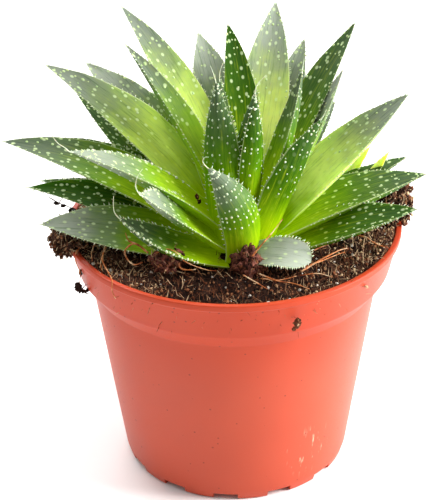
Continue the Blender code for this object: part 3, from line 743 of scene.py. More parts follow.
def edge_branch(tree, leaf, given):
    """One row of large domes beside a margin, as on a leaf that shows its keel."""
    points, index = counted_points(tree, given["Edge Bumps"])
    shift = add(tree, "FunctionNodeRandomValue", {
        2: 0.2, 3: 0.8,
        8: add(tree, "ShaderNodeMath", {0: given["Seed"], 1: 5.0}, operation="ADD").outputs[0],
    }, data_type="FLOAT").outputs[1]
    share = add(tree, "ShaderNodeMath", {
        0: add(tree, "ShaderNodeMath", {0: index, 1: shift}, operation="ADD").outputs[0],
        1: given["Edge Bumps"],
    }, operation="DIVIDE").outputs[0]
    v = add(tree, "ShaderNodeMath", {0: share, 1: 0.72, 2: 0.25}, operation="MULTIPLY_ADD").outputs[0]
    u = add(tree, "ShaderNodeMath", {
        0: given["Edge Place"],
        1: add(
            tree, "FunctionNodeRandomValue", {2: -0.03, 3: 0.03, 8: given["Seed"]}, data_type="FLOAT",
        ).outputs[1],
    }, operation="ADD").outputs[0]
    place = from_skin(tree, leaf, add(tree, "GeometryNodeInputPosition").outputs[0], u, v)
    placed = add(tree, "GeometryNodeSetPosition", {"Geometry": points, "Position": place})
    size = add(tree, "FunctionNodeRandomValue", {
        2: 0.6, 3: 1.2,
        8: add(tree, "ShaderNodeMath", {0: given["Seed"], 1: 6.0}, operation="ADD").outputs[0],
    }, data_type="FLOAT").outputs[1]
    dome = add(tree, "GeometryNodeMeshUVSphere", {"Segments": 7, "Rings": 5, "Radius": 0.5 * MM})
    return add(tree, "GeometryNodeInstanceOnPoints", {
        "Points": placed.outputs[0], "Instance": dome.outputs[0], "Scale": size,
    }).outputs[0]


lace_tree, given, result = start_tree("aloe_lace", {
    "Edge Bumps": ("Int", 0), "Edge Place": ("Float", 0.1), "Teeth": ("Int", 20), "Tooth Length": (
        "Float", 1.2 * MM,
    ), "Outer Rows": ("Int", 10),
    "Bumps in a Row": ("Int", 5), "Bump Radius": ("Float", 0.4 * MM), "Seed": ("Int", 1),
    "Material": ("Material", None),
})
finished(lace_tree, [
    tooth_branch(lace_tree, given["Geometry"], given), edge_branch(lace_tree, given["Geometry"], given),
    bump_branch(
        lace_tree, given["Geometry"], given, 1, given["Outer Rows"], given["Bumps in a Row"], 0.36, 0.98,
        given["Bump Radius"], 0.03, 0.9, (1.15, 1.0, 0.55),
    ),
], given, result)
print("lace tree:", len(lace_tree.nodes), "nodes")

spot_tree, given, result = start_tree("aloe_spots", {
    "Inner Rows": ("Int", 8), "Bumps in a Row": ("Int", 5), "Bump Radius": ("Float", 0.5 * MM),
    "Seed": ("Int", 1), "Material": ("Material", None),
})
finished(spot_tree, [
    bump_branch(
        spot_tree, given["Geometry"], given, 0, given["Inner Rows"], given["Bumps in a Row"], 0.5, 0.97,
        given["Bump Radius"], -0.02, 0.5, (1.2, 1.0, 0.35),
    )
], given, result)
print("spot tree:", len(spot_tree.nodes), "nodes")

# %% [markdown]
# A modifier's inputs are set by their identifiers. The evaluated result is then kept as a plain mesh, and
# the helper object with its modifier is removed.

# %% Run a tree on a mesh


def grown_on(mesh, tree, values):
    """The plain mesh that a Geometry Nodes tree makes of this mesh."""
    helper = bpy.data.objects.new("helper", mesh)
    bpy.context.scene.collection.objects.link(helper)
    modifier = helper.modifiers.new("grow", "NODES")
    modifier.node_group = tree
    sockets = {s.name: s.identifier for s in tree.interface.items_tree if s.in_out == "INPUT"}
    for name, value in values.items():
        modifier[sockets[name]] = value
    graph = bpy.context.evaluated_depsgraph_get()
    made = bpy.data.meshes.new_from_object(helper.evaluated_get(graph))
    bpy.data.objects.remove(helper)
    return made


print("trees to run:", [tree.name for tree in bpy.data.node_groups])

# %% [markdown]
# ## Strands
# Roots, hairs and the leaves' thread-like tips are all thin tubes that taper. A smooth curve is drawn
# through a few points, and a ring of points is carried along it.

# %% Helper for strands


def smooth_path(points, steps):
    """A Catmull-Rom curve through the points."""
    points = np.asarray(points, float)
    padded = np.concatenate([[2 * points[0] - points[1]], points, [2 * points[-1] - points[-2]]])
    made = []
    for i in range(len(points) - 1):
        a, b, c, d = padded[i:i + 4]
        for t in np.linspace(0, 1, steps, endpoint=False):
            made.append(0.5 * (2 * b + (c - a) * t + (2 * a - 5 * b + 4 * c - d) * t ** 2
                               + (3 * b - a - 3 * c + d) * t ** 3))
    return np.array(made + [points[-1]])


def strand(name, route, thick, thin, material, sides=6, steps=6, uneven=0.0):
    """A tapering tube through the route, in millimetres: its radius goes from thick to thin."""
    path = smooth_path(route, steps)
    heading = unit(np.gradient(path, axis=0))
    first = np.cross(heading[0], (0.31, 0.2, 0.93))
    rings = []
    for i, (spot, ahead) in enumerate(zip(path, heading)):
        first = unit(first - (first @ ahead) * ahead)
        second = np.cross(ahead, first)
        radius = thick + (thin - thick) * i / (len(path) - 1)
        radius *= 1 + uneven * noise.noise(Vector(spot) * 1.3)
        for k in range(sides):
            angle = 2 * math.pi * k / sides
            rings.append(spot + radius * (first * math.cos(angle) + second * math.sin(angle)))
    faces = []
    for i in range(len(path) - 1):
        for k in range(sides):
            m = (k + 1) % sides
            faces.append((i * sides + k, i * sides + m, (i + 1) * sides + m, (i + 1) * sides + k))
    faces.append(tuple(range(sides)))
    faces.append(tuple(range(len(rings) - sides, len(rings))))
    return mesh_of(name, metres(rings), faces, material)


print("a strand of 6 sides and 6 steps has", 6 * 6, "faces between two of its route's points")

# %% [markdown]
# ## Growing the rosette
# Each row of the table becomes one blade that stands for its CAD leaf. The lace of a whole whorl is joined
# into one piece, because its material is the same all over.

# %% Build the leaves and their lace
AWNS = {
    "leaf_middle_3": ((0, 0, 0), (-1.5, 0, 1.5), (-3.5, 0, 3.0), (-5.5, 0, 6.0)),
    "leaf_outer_4": ((0, 0, 0), (-1.2, -0.5, 3.0), (-0.6, -0.5, 6.5), (1.2, -0.5, 9.5)),
    "leaf_low_5": ((0, 0, 0), (-1.2, 0, 2.0), (-1.4, 0, 5.0), (-1.2, 0, 8.0)),
    "leaf_low_6": ((0, 0, 0), (-1.0, 0, 1.2), (-1.4, 0, 2.6), (-0.6, -0.5, 4.0), (0.6, -0.8, 4.2)),
    "leaf_outer_5": ((0, 0, 0), (-0.6, 0, 2.5), (-1.8, 0, 6.0)),
    "leaf_heart_1": ((0, 0, 0), (0.4, 0, 3.0), (1.8, 0, 6.5)),
    "leaf_heart_2": ((0, 0, 0), (0.8, 0, 3.0), (3.5, 0, 6.0)),
}
ROWS = {"leaf_low_6": (9, 9), "leaf_outer_5": (13, 6), "leaf_outer_9": (12, 5), "leaf_inner_2": (11, 5)}
EDGE_ROWS = {
    "leaf_middle_3": (14, 0.1), "leaf_outer_4": (18, 0.1), "leaf_low_5": (17, 0.88),
    "leaf_outer_1": (8, 0.1),
}
TOOTH_LENGTHS = {"heart": 0.9, "inner": 1.0, "middle": 1.0, "outer": 1.05, "low": 1.2}
laces = {whorl: [] for whorl in WHORLS}
spots = {whorl: [] for whorl in WHORLS}
counts = dict.fromkeys(WHORLS, 0)
for number, row in enumerate(LEAVES):
    whorl, seat, bearing, reach, height, arch, sweep, width, roll, cup = row[:10]
    counts[whorl] += 1
    name = f"leaf_{whorl}_{counts[whorl]}"
    root = crown_point(seat, *WHORLS[whorl])
    tip = crown_point(bearing, reach, height)
    rib = bowed(root, tip, seat, arch, sweep, roll)
    mesh, length = blade_mesh(name + "_blade", rib, width, cup, TAPER, row[10:], number)
    outer_rows, in_a_row = ROWS.get(name, (round(length / 6.5), 5))
    edge_bumps, edge_place = EDGE_ROWS.get(name, (0, 0.1))
    laces[whorl].append(grown_on(mesh, lace_tree, {
        "Teeth": max(12, round(length / 2.3)), "Tooth Length": TOOTH_LENGTHS[whorl] * MM,
        "Outer Rows": outer_rows, "Bumps in a Row": in_a_row, "Bump Radius": 0.36 * MM, "Seed": 31 * number,
        "Edge Bumps": edge_bumps, "Edge Place": edge_place, "Material": horn,
    }))
    spots[whorl].append(grown_on(mesh, spot_tree, {
        "Inner Rows": round(length / 7.0), "Bumps in a Row": 5, "Bump Radius": 0.42 * MM, "Seed": 31 * number,
        "Material": spot_skin,
    }))
    heading = rib([1.0])[3][0]
    thread = AWNS.get(name, ((0, 0, 0), heading * 1.5, heading * 3.0 + np.array([0, 0, 0.4])))
    thread = [tip - heading * 1.5] + [tip + np.array(p, float) for p in thread]
    laces[whorl].append(strand("awn", thread, 0.24, 0.07, horn))
    piece_of(name + "_blade", mesh, [name])
for whorl in WHORLS:
    lace = piece_of(f"lace_{whorl}", joined(f"lace_{whorl}", laces[whorl]))
    spotted = piece_of(f"spots_{whorl}", joined(f"spots_{whorl}", spots[whorl]))
    print(lace.name, len(lace.data.polygons), "faces;", spotted.name, len(spotted.data.polygons), "faces")

# %% [markdown]
# ## The pot
# A nursery pot is injection-moulded from polypropylene: thin, satin, a little waxy, with small soft radii.
# It is a solid of revolution, so its outline is spun round the axis.

# %% Material: terracotta-coloured polypropylene
# Injection-moulded polypropylene, very slightly see-through: it gives the eye an even orange-red
# with a soft gloss.
pot_plastic, tree, shader = plain_material(
    "terracotta_polypropylene", Subsurface_Weight=0.04, Subsurface_Scale=0.003, IOR=1.49,
    Specular_IOR_Level=0.25,
)
place = add(tree, "ShaderNodeTexCoord").outputs["Object"]
clouds = add(tree, "ShaderNodeTexNoise", {
    "Vector": place, "Scale": 1 / (45.0 * MM), "Detail": 2.0,
}).outputs[0]
colour = add(tree, "ShaderNodeValToRGB", {0: clouds}, [(0.3, "B43818"), (0.7, "BE401E")]).outputs[0]
# Painted light: the plastic turns paler towards the bottom, where light from the white floor falls.
painted_floor_bounce = add(tree, "ShaderNodeMapRange", {
    0: add(tree, "ShaderNodeSeparateXYZ", {0: place}).outputs[2], 1: 82 * MM, 2: 45 * MM,
}, interpolation_type="SMOOTHSTEP").outputs[0]
colour = add(tree, "ShaderNodeMix", {
    0: add(tree, "ShaderNodeMath", {0: painted_floor_bounce, 1: 0.08, 2: 0.01}, operation="MULTIPLY_ADD").outputs[0],
    6: colour, 7: linear("F0A088"),
}, data_type="RGBA").outputs[2]
specks = add(tree, "ShaderNodeTexVoronoi", {
    "Vector": place, "Scale": 1 / (5.0 * MM), "Randomness": 1.0,
}).outputs[0]
colour = add(tree, "ShaderNodeMix", {
    0: add(tree, "ShaderNodeMath", {
        0: add(
            tree, "ShaderNodeMapRange", {0: specks, 1: 0.085, 2: 0.06}, interpolation_type="SMOOTHSTEP",
        ).outputs[0],
        1: 0.7,
    }, operation="MULTIPLY").outputs[0],
    6: colour, 7: linear("6E2A1C"),
}, data_type="RGBA").outputs[2]
upright = add(tree, "ShaderNodeVectorMath", {0: place, 1: (1.0, 1.0, 0.12)}, operation="MULTIPLY").outputs[0]
scuffs = add(tree, "ShaderNodeMapRange", {
    0: add(tree, "ShaderNodeTexNoise", {
        "Vector": upright, "Scale": 1 / (2.2 * MM), "Detail": 4.0, "Roughness": 0.7,
    }).outputs[0],
    1: 0.72, 2: 0.8,
}, interpolation_type="SMOOTHSTEP").outputs[0]
scrape_lines = add(tree, "ShaderNodeTexNoise", {
    "Vector": upright, "Scale": 1 / (1.6 * MM), "Detail": 3.0, "Roughness": 0.6,
}).outputs[0]
colour = add(tree, "ShaderNodeMix", {
    0: add(tree, "ShaderNodeMath", {0: scuffs, 1: 0.25}, operation="MULTIPLY").outputs[0], 6: colour,
    7: linear("F6A288"),
}, data_type="RGBA").outputs[2]
from_scrape = add(
    tree, "ShaderNodeVectorMath", {0: place, 1: metres((28.0, -37.0, 17.0))}, operation="DISTANCE",
)
scraped = add(tree, "ShaderNodeMath", {
    0: add(
        tree, "ShaderNodeMapRange", {0: from_scrape.outputs["Value"], 1: 14 * MM, 2: 5 * MM},
        interpolation_type="SMOOTHSTEP",
    ).outputs[0],
    1: add(
        tree, "ShaderNodeMapRange", {0: scrape_lines, 1: 0.6, 2: 0.68}, interpolation_type="SMOOTHSTEP",
    ).outputs[0],
}, operation="MULTIPLY").outputs[0]
colour = add(tree, "ShaderNodeMix", {
    0: add(tree, "ShaderNodeMath", {0: scraped, 1: 0.6}, operation="MULTIPLY").outputs[0], 6: colour,
    7: linear("F8CFAE"),
}, data_type="RGBA").outputs[2]
tree.links.new(colour, shader.inputs["Base Color"])
grain = add(tree, "ShaderNodeTexNoise", {"Vector": place, "Scale": 1 / (0.6 * MM), "Detail": 2.0}).outputs[0]
tree.links.new(
    add(tree, "ShaderNodeMath", {0: grain, 1: 0.12, 2: 0.36}, operation="MULTIPLY_ADD").outputs[0],
    shader.inputs["Roughness"],
)
bump = add(tree, "ShaderNodeBump", {"Height": grain, "Strength": 0.06, "Distance": 0.1 * MM})
tree.links.new(bump.outputs[0], shader.inputs["Normal"])
print("pot plastic:", len(tree.nodes), "nodes")

# %% Pot outline and spin
POT_HEIGHT = 93.0
RIM = 60.0
LIP_BOTTOM = POT_HEIGHT - 2.7
WALL = 1.1
FLOOR_HEIGHT = 3.0
POT_STEPS = 180


def softened(outline, radius, steps=4):
    """The outline with its inner corners rounded."""
    made = [outline[0]]
    for before, corner, after in zip(outline, outline[1:], outline[2:]):
        before, corner, after = (np.array(p, float) for p in (before, corner, after))
        reach_in = min(radius, np.linalg.norm(before - corner) / 2.2)
        reach_out = min(radius, np.linalg.norm(after - corner) / 2.2)
        a = corner + unit(before - corner) * reach_in
        b = corner + unit(after - corner) * reach_out
        for t in np.linspace(0, 1, steps):
            made.append((1 - t) ** 2 * a + 2 * t * (1 - t) * corner + t * t * b)
    return made + [outline[-1]]


def spun(outline, steps):
    """Points and faces of an outline turned about the pot's axis; its ends lie on the axis."""
    middle = outline[1:-1]
    points = [(0.0, 0.0, outline[0][1]), (0.0, 0.0, outline[-1][1])]
    for radius, height in middle:
        for k in range(steps):
            angle = 2 * math.pi * k / steps
            points.append((radius * math.cos(angle), radius * math.sin(angle), height))
    faces = []
    for k in range(steps):
        m = (k + 1) % steps
        faces.append((0, 2 + k, 2 + m))
        for i in range(len(middle) - 1):
            a = 2 + i * steps
            faces.append((a + k, a + steps + k, a + steps + m, a + m))
        end = 2 + (len(middle) - 1) * steps
        faces.append((end + k, 1, end + m))
    return points, faces


pot_outline = [
    (0.0, FLOOR_HEIGHT + WALL), (40.0 - WALL, FLOOR_HEIGHT + WALL), (42.5 - WALL, FLOOR_HEIGHT + WALL + 2.0),
    (51.8 - WALL, 72.3), (56.3 - WALL, 78.5), (RIM - 1.0 - WALL, POT_HEIGHT), (RIM, POT_HEIGHT),
    (RIM, LIP_BOTTOM + 0.4), (RIM - 1.0, LIP_BOTTOM), (56.3, 78.5), (51.8, 72.3), (42.0, 3.4), (41.0, 0.0),
    (38.6, 0.0), (38.6, FLOOR_HEIGHT), (0.0, FLOOR_HEIGHT),
]
pot_points, pot_faces = spun(softened(pot_outline, 0.5), POT_STEPS)
pot_shell = mesh_of("pot_shell", metres(pot_points), pot_faces, pot_plastic)
print("pot shell:", len(pot_faces), "faces")

# %% [markdown]
# Thirteen notches in the foot let water run out, and seven round holes drain the floor. Both repeat round
# the axis, so Geometry Nodes set the cutters on circles and take them away from the shell.

# %% Geometry Nodes: notches and drain holes
pot_tree, given, result = start_tree("pot_openings", {
    "Notches": ("Int", 13), "First Notch": ("Float", math.radians(264.5)), "Notch Circle": ("Float", 41 * MM),
    "Notch Size": ("Vector", (9 * MM, 12 * MM, 5 * MM)),
    "Holes": ("Int", 6), "Hole Circle": ("Float", 26 * MM), "Hole Radius": ("Float", 4 * MM),
    "Floor Height": ("Float", 3.5 * MM), "Axis": ("Vector", (0, 0, 0)), "Material": ("Material", None),
})


def ring_of(tree, shape, count, circle, centre, first=0.0):
    """The shape instanced round a circle from the first angle, each one turned to face the axis."""
    points = add(tree, "GeometryNodeMeshCircle", {"Vertices": count, "Radius": circle})
    turn = add(tree, "FunctionNodeAlignRotationToVector",
               {"Vector": add(tree, "GeometryNodeInputPosition").outputs[0]}, axis="Y")
    ring = add(tree, "GeometryNodeInstanceOnPoints", {
        "Points": points.outputs[0], "Instance": shape, "Rotation": turn.outputs[0],
    })
    turned = add(tree, "ShaderNodeCombineXYZ", {2: first})
    moved = add(tree, "GeometryNodeTransform",
                {"Geometry": ring.outputs[0], "Translation": centre, "Rotation": turned.outputs[0]})
    return moved.outputs[0]


notch = add(pot_tree, "GeometryNodeMeshCube", {"Size": given["Notch Size"]})
hole = add(pot_tree, "GeometryNodeMeshCylinder", {
    "Vertices": 32, "Radius": given["Hole Radius"], "Depth": 6 * MM,
})
floor_level = add(pot_tree, "ShaderNodeCombineXYZ", {2: given["Floor Height"]}).outputs[0]
floor_centre = add(
    pot_tree, "ShaderNodeVectorMath", {0: given["Axis"], 1: floor_level}, operation="ADD",
).outputs[0]
middle_hole = add(pot_tree, "GeometryNodeTransform", {
    "Geometry": hole.outputs[0], "Translation": floor_centre,
})
cutters = add(pot_tree, "GeometryNodeJoinGeometry")
for cutter in (
    ring_of(
        pot_tree, notch.outputs[0], given["Notches"], given["Notch Circle"], given["Axis"],
        given["First Notch"],
    ),
    ring_of(pot_tree, hole.outputs[0], given["Holes"], given["Hole Circle"], floor_centre),
    middle_hole.outputs[0],
):
    pot_tree.links.new(cutter, cutters.inputs[0])
real = add(pot_tree, "GeometryNodeRealizeInstances", {0: cutters.outputs[0]})
opened = add(pot_tree, "GeometryNodeMeshBoolean", {"Mesh 1": given["Geometry"], "Mesh 2": real.outputs[0]},
             operation="DIFFERENCE", solver="EXACT")
painted = add(pot_tree, "GeometryNodeSetMaterial", {0: opened.outputs[0], 2: given["Material"]})
pot_tree.links.new(painted.outputs[0], result.inputs[0])
pot_mesh = grown_on(pot_shell, pot_tree, {"Axis": AXIS, "Material": pot_plastic})
pot_mesh.shade_smooth()
pot_mesh.set_sharp_from_angle(angle=math.radians(35))
piece_of("moulded_pot", pot_mesh, ["pot"])
print("pot:", len(pot_mesh.polygons), "faces")

# %% [markdown]
# ## Peat
# Potting soil is dark, fibrous peat with lighter crumbs and a few white grains of perlite. Its surface is a
# height field over a disc: a mound under the crown, banks against the rim, and lumps of several sizes.

# %% Material: moist peat
# Milled moss peat, moist inside: dark and matt, it gives the eye a soft black-brown with no gloss.
peat, tree, shader = plain_material("moist_peat", Roughness=0.95, Specular_IOR_Level=0.1)
place = add(tree, "ShaderNodeTexCoord").outputs["Object"]


def dryness(tree, place):
    """Adds up to 0.2 towards both sides of the pot, where the peat has dried to a lighter, redder brown."""
    sideways = add(tree, "ShaderNodeSeparateXYZ", {0: place}).outputs[0]
    sideways = add(tree, "ShaderNodeMath", {
        0: add(tree, "ShaderNodeMath", {0: sideways, 1: AXIS.x}, operation="SUBTRACT").outputs[0]
    }, operation="ABSOLUTE").outputs[0]
    return add(tree, "ShaderNodeMath", {
        0: add(
            tree, "ShaderNodeMapRange", {0: sideways, 1: 5 * MM, 2: 45 * MM},
            interpolation_type="SMOOTHSTEP",
        ).outputs[0],
        1: 0.2,
    }, operation="MULTIPLY").outputs[0]


fine = add(tree, "ShaderNodeTexNoise", {
    "Vector": place, "Scale": 1 / (0.9 * MM), "Detail": 5.0, "Roughness": 0.75,
}).outputs[0]
broad = add(tree, "ShaderNodeTexNoise", {"Vector": place, "Scale": 1 / (7.0 * MM), "Detail": 2.0}).outputs[0]
tone = add(tree, "ShaderNodeMath", {
    0: broad, 1: 0.35, 2: add(tree, "ShaderNodeMath", {0: fine, 1: 0.75}, operation="MULTIPLY").outputs[0],
}, operation="MULTIPLY_ADD").outputs[0]
tone = add(tree, "ShaderNodeMath", {
    0: tone,
    1: add(tree, "ShaderNodeMath", {0: dryness(tree, place), 1: 0.5}, operation="MULTIPLY").outputs[0],
}, operation="ADD").outputs[0]
colour = add(tree, "ShaderNodeValToRGB", {0: tone}, [
    (0.38, "0D0706"), (0.52, "1D110D"), (0.64, "372219"), (0.78, "6E4E3C"),
]).outputs[0]
tree.links.new(colour, shader.inputs["Base Color"])
bump = add(tree, "ShaderNodeBump", {"Height": fine, "Strength": 0.8, "Distance": 0.6 * MM})
tree.links.new(bump.outputs[0], shader.inputs["Normal"])
print("peat:", len(tree.nodes), "nodes")

# %% Material: crumbs, from black peat to tan fibre
# The same peat in loose bits: each has its own shade, which gives the eye a grain from black to tan.
crumb_skin, tree, shader = plain_material("peat_crumbs", Roughness=0.92, Specular_IOR_Level=0.12)
shade = add(tree, "ShaderNodeAttribute", attribute_name="shade").outputs["Fac"]
place = add(tree, "ShaderNodeTexCoord").outputs["Object"]
shade = add(tree, "ShaderNodeMath", {
    0: add(tree, "ShaderNodeMath", {
        0: add(tree, "ShaderNodeTexNoise", {"Vector": place, "Scale": 1 / (0.5 * MM)}).outputs[0], 1: 0.5,
    }, operation="SUBTRACT").outputs[0],
    1: 0.3, 2: shade,
}, operation="MULTIPLY_ADD").outputs[0]
shade = add(tree, "ShaderNodeMath", {0: shade, 1: dryness(tree, place)}, operation="ADD").outputs[0]
colour = add(tree, "ShaderNodeValToRGB", {0: shade}, [
    (0.0, "0C0605"), (0.4, "21120D"), (0.62, "452619"), (0.8, "74432A"), (0.93, "A07654"), (1.0, "CDB08A"),
]).outputs[0]
tree.links.new(colour, shader.inputs["Base Color"])
print("crumbs:", len(tree.nodes), "nodes")

# %% Soil body
SOIL_EDGE = 89.5
SOIL_STEPS = 200
SOIL_RINGS = 84


def soil_height(x, y):
    from_crown = math.hypot(x - CROWN[0], y - CROWN[1])
    from_axis = math.hypot(x, y)
    mound = 4.5 * math.exp(-((from_crown / 26.0) ** 2))
    bank = 4.0 * (abs(x) / max(from_axis, 1.0)) ** 3 * min(from_axis / 56.0, 1.0) ** 2
    back = 4.0 * max(y, 0.0) / 60.0
    return SOIL_EDGE + mound + max(bank, back) + 1.6 * noise.noise(Vector((x, y, 0.0)) / 9.0)


def lumpy(x, y):
    """Lumps from 5 mm down to 1 mm, in millimetres."""
    broad = noise.noise(Vector((x, y, 3.0)) / 4.5)
    small = noise.noise(Vector((x, y, 9.0)) / 1.6)
    tiny = noise.noise(Vector((x, y, 21.0)) / 0.8)
    return 0.9 * broad + 0.6 * abs(small) + 0.35 * tiny


soil_radius = RIM - 1.0 - WALL - 0.35
soil_outline = [(0.0, POT_HEIGHT)]
soil_outline += [(soil_radius * (i / SOIL_RINGS) ** 0.8, POT_HEIGHT) for i in range(1, SOIL_RINGS + 1)]
soil_outline += [
    (56.3 - WALL - 0.3, 78.5), (51.8 - WALL - 0.3, 72.3), (42.5 - WALL - 0.3, FLOOR_HEIGHT + WALL + 2.3),
    (40.0 - WALL - 0.3, FLOOR_HEIGHT + WALL + 0.3), (0.0, FLOOR_HEIGHT + WALL + 0.3),
]
soil_points, soil_faces = spun(soil_outline, SOIL_STEPS)
soil_points = [
    (x, y, soil_height(x, y) + lumpy(x, y)) if z > POT_HEIGHT - 0.5 else (x, y, z) for x, y, z in soil_points
]
soil_mesh = mesh_of("peat_body", metres(soil_points), soil_faces, peat)
piece_of("peat_body", soil_mesh, ["soil"])
print("soil:", len(soil_mesh.polygons), "faces")

# %% [markdown]
# ## Crumbs, fibres and perlite
# Loose bits lie all over the peat, at random. Geometry Nodes scatter points on the upward faces, and set a
# small angular lump, or a bent thread, on each. A fixed seed makes every run the same.

# %% Geometry Nodes: scatter
scatter_tree, given, result = start_tree("scatter_crumbs", {
    "Spacing": (
        "Float", 0.8 * MM,
    ), "Density": ("Float", 1.0e6), "Smallest": ("Float", 0.3), "Largest": ("Float", 1.0),
    "Size": (
        "Float", 1.0 * MM,
    ), "Stretch": ("Float", 1.0), "Level": ("Float", -10.0), "Darkest": ("Float", 0.0),
    "Lightest": ("Float", 1.0), "Seed": ("Int", 1), "Material": ("Material", None),
})
height = add(scatter_tree, "ShaderNodeSeparateXYZ",
             {0: add(scatter_tree, "GeometryNodeInputNormal").outputs[0]}).outputs[2]
upward = add(
    scatter_tree, "ShaderNodeMath", {0: height, 1: given["Level"]}, operation="GREATER_THAN",
).outputs[0]
dropped = add(scatter_tree, "GeometryNodeDistributePointsOnFaces", {
    "Mesh": given["Geometry"], "Selection": upward, "Distance Min": given["Spacing"],
    "Density Max": given["Density"], "Seed": given["Seed"],
}, distribute_method="POISSON")
tumble = add(scatter_tree, "FunctionNodeRandomValue",
             {0: (0, 0, 0), 1: (math.tau, math.tau, math.tau), 8: given["Seed"]}, data_type="FLOAT_VECTOR")
grow = add(
    scatter_tree, "FunctionNodeRandomValue", {2: given["Smallest"], 3: given["Largest"], 8: 5},
    data_type="FLOAT",
).outputs[1]
grow = add(scatter_tree, "ShaderNodeMath", {0: grow, 1: given["Size"]}, operation="MULTIPLY").outputs[0]
uneven = add(scatter_tree, "FunctionNodeRandomValue",
             {0: (0.7, 0.6, 0.5), 1: (1.5, 1.2, 1.0), 8: 7}, data_type="FLOAT_VECTOR").outputs[0]
long_shape = add(scatter_tree, "ShaderNodeCombineXYZ", {0: given["Stretch"], 1: 1.0, 2: 1.0}).outputs[0]
uneven = add(
    scatter_tree, "ShaderNodeVectorMath", {0: uneven, 1: long_shape}, operation="MULTIPLY",
).outputs[0]
lump = add(scatter_tree, "GeometryNodeMeshIcoSphere", {"Radius": 1.0, "Subdivisions": 1})
crumbs = add(scatter_tree, "GeometryNodeInstanceOnPoints", {
    "Points": dropped.outputs[0], "Instance": lump.outputs[0], "Rotation": tumble.outputs[0],
    "Scale": add(scatter_tree, "ShaderNodeVectorMath", {0: uneven, 3: grow}, operation="SCALE").outputs[0],
})
tone = add(
    scatter_tree, "FunctionNodeRandomValue", {2: given["Darkest"], 3: given["Lightest"], 8: 11},
    data_type="FLOAT",
).outputs[1]
toned = add(scatter_tree, "GeometryNodeStoreNamedAttribute", {0: crumbs.outputs[0], 2: "shade", 3: tone},
            data_type="FLOAT", domain="INSTANCE")
real = add(scatter_tree, "GeometryNodeRealizeInstances", {0: toned.outputs[0]})
painted = add(scatter_tree, "GeometryNodeSetMaterial", {0: real.outputs[0], 2: given["Material"]})
scatter_tree.links.new(painted.outputs[0], result.inputs[0])

crumb_mesh = grown_on(soil_mesh, scatter_tree, {
    "Spacing": 1.0 * MM, "Size": 0.45 * MM, "Smallest": 0.4, "Largest": 1.7, "Level": 0.15, "Lightest": 0.92,
    "Seed": 4, "Material": crumb_skin,
})
piece_of("peat_crumbs", crumb_mesh)
fibre_mesh = grown_on(soil_mesh, scatter_tree, {
    "Spacing": 1.1 * MM, "Size": 0.1 * MM, "Smallest": 0.6, "Largest": 1.5, "Stretch": 24.0, "Level": 0.15,
    "Darkest": 0.55, "Seed": 9, "Material": crumb_skin,
})
piece_of("peat_fibres", fibre_mesh)
print("crumbs:", len(crumb_mesh.polygons), "faces; fibres:", len(fibre_mesh.polygons), "faces")

# %% Perlite
# Volcanic glass popped by heat, dull and full of holes: it gives the eye small, bright dots.
perlite_skin, tree, shader = plain_material("expanded_perlite", Roughness=0.9)
place = add(tree, "ShaderNodeTexCoord").outputs["Object"]
tree.links.new(
    add(tree, "ShaderNodeValToRGB", {
        0: add(tree, "ShaderNodeTexNoise", {"Vector": place, "Scale": 1 / (0.6 * MM)}).outputs[0]
    }, [(0.35, "A99C8C"), (0.65, "E9E3D8")]).outputs[0],
    shader.inputs["Base Color"],
)
perlite_mesh = grown_on(soil_mesh, scatter_tree, {
    "Spacing": 6.5 * MM, "Size": 0.6 * MM, "Smallest": 0.4, "Largest": 1.3, "Level": 0.15, "Seed": 21,
    "Material": perlite_skin,
})
piece_of("perlite_grains", perlite_mesh)
print("perlite:", len(perlite_mesh.polygons), "faces")

# %% [markdown]
# ## Clods, roots and the offset
# Two clumps of peat stick up at the rim, and two clods sit at the front. A short grey leaf of an offset
# lies before the rosette, with thin roots around it.

# %% Clumps and clods


def lump_mesh(name, centre, radii, material, rough=0.35, finest=5):
    bm = bmesh.new()
    bmesh.ops.create_icosphere(bm, subdivisions=finest, radius=1.0)
    for vertex in bm.verts:
        away = Vector(vertex.co)
        swell = 1 + 0.25 * noise.noise((away + Vector(centre)) / 0.6)
        swell += rough * noise.noise((away * radii[0] + Vector(centre)) / 1.8)
        swell += 0.5 * rough * noise.noise((away * radii[0] + Vector(centre)) / 0.8)
        vertex.co = Vector(metres([centre[i] + away[i] * radii[i] * swell for i in range(3)]))
    mesh = bpy.data.meshes.new(name)
    bm.to_mesh(mesh)
    bm.free()
    mesh.shade_smooth()
    mesh.materials.append(material)
    return mesh


# Old root bark, dried and flaking: it gives the eye a pale, papery tan.
dry_tissue, tree, shader = plain_material("dried_root_bark", Roughness=0.85)
place = add(tree, "ShaderNodeTexCoord").outputs["Object"]
colour = add(
    tree, "ShaderNodeValToRGB",
    {
        0: add(tree, "ShaderNodeTexNoise", {
            "Vector": place, "Scale": 1 / (1.2 * MM), "Detail": 4.0, "Roughness": 0.7,
        }).outputs[0]
    },
    [(0.3, "2B120C"), (0.48, "5E2D20"), (0.62, "8A4D3A"), (0.78, "A97A5E")],
).outputs[0]
tree.links.new(colour, shader.inputs["Base Color"])
bump = add(tree, "ShaderNodeBump", {
    "Height": add(tree, "ShaderNodeTexNoise", {
        "Vector": place, "Scale": 1 / (0.7 * MM), "Detail": 3.0,
    }).outputs[0],
    "Strength": 0.7, "Distance": 0.5 * MM,
})
tree.links.new(bump.outputs[0], shader.inputs["Normal"])

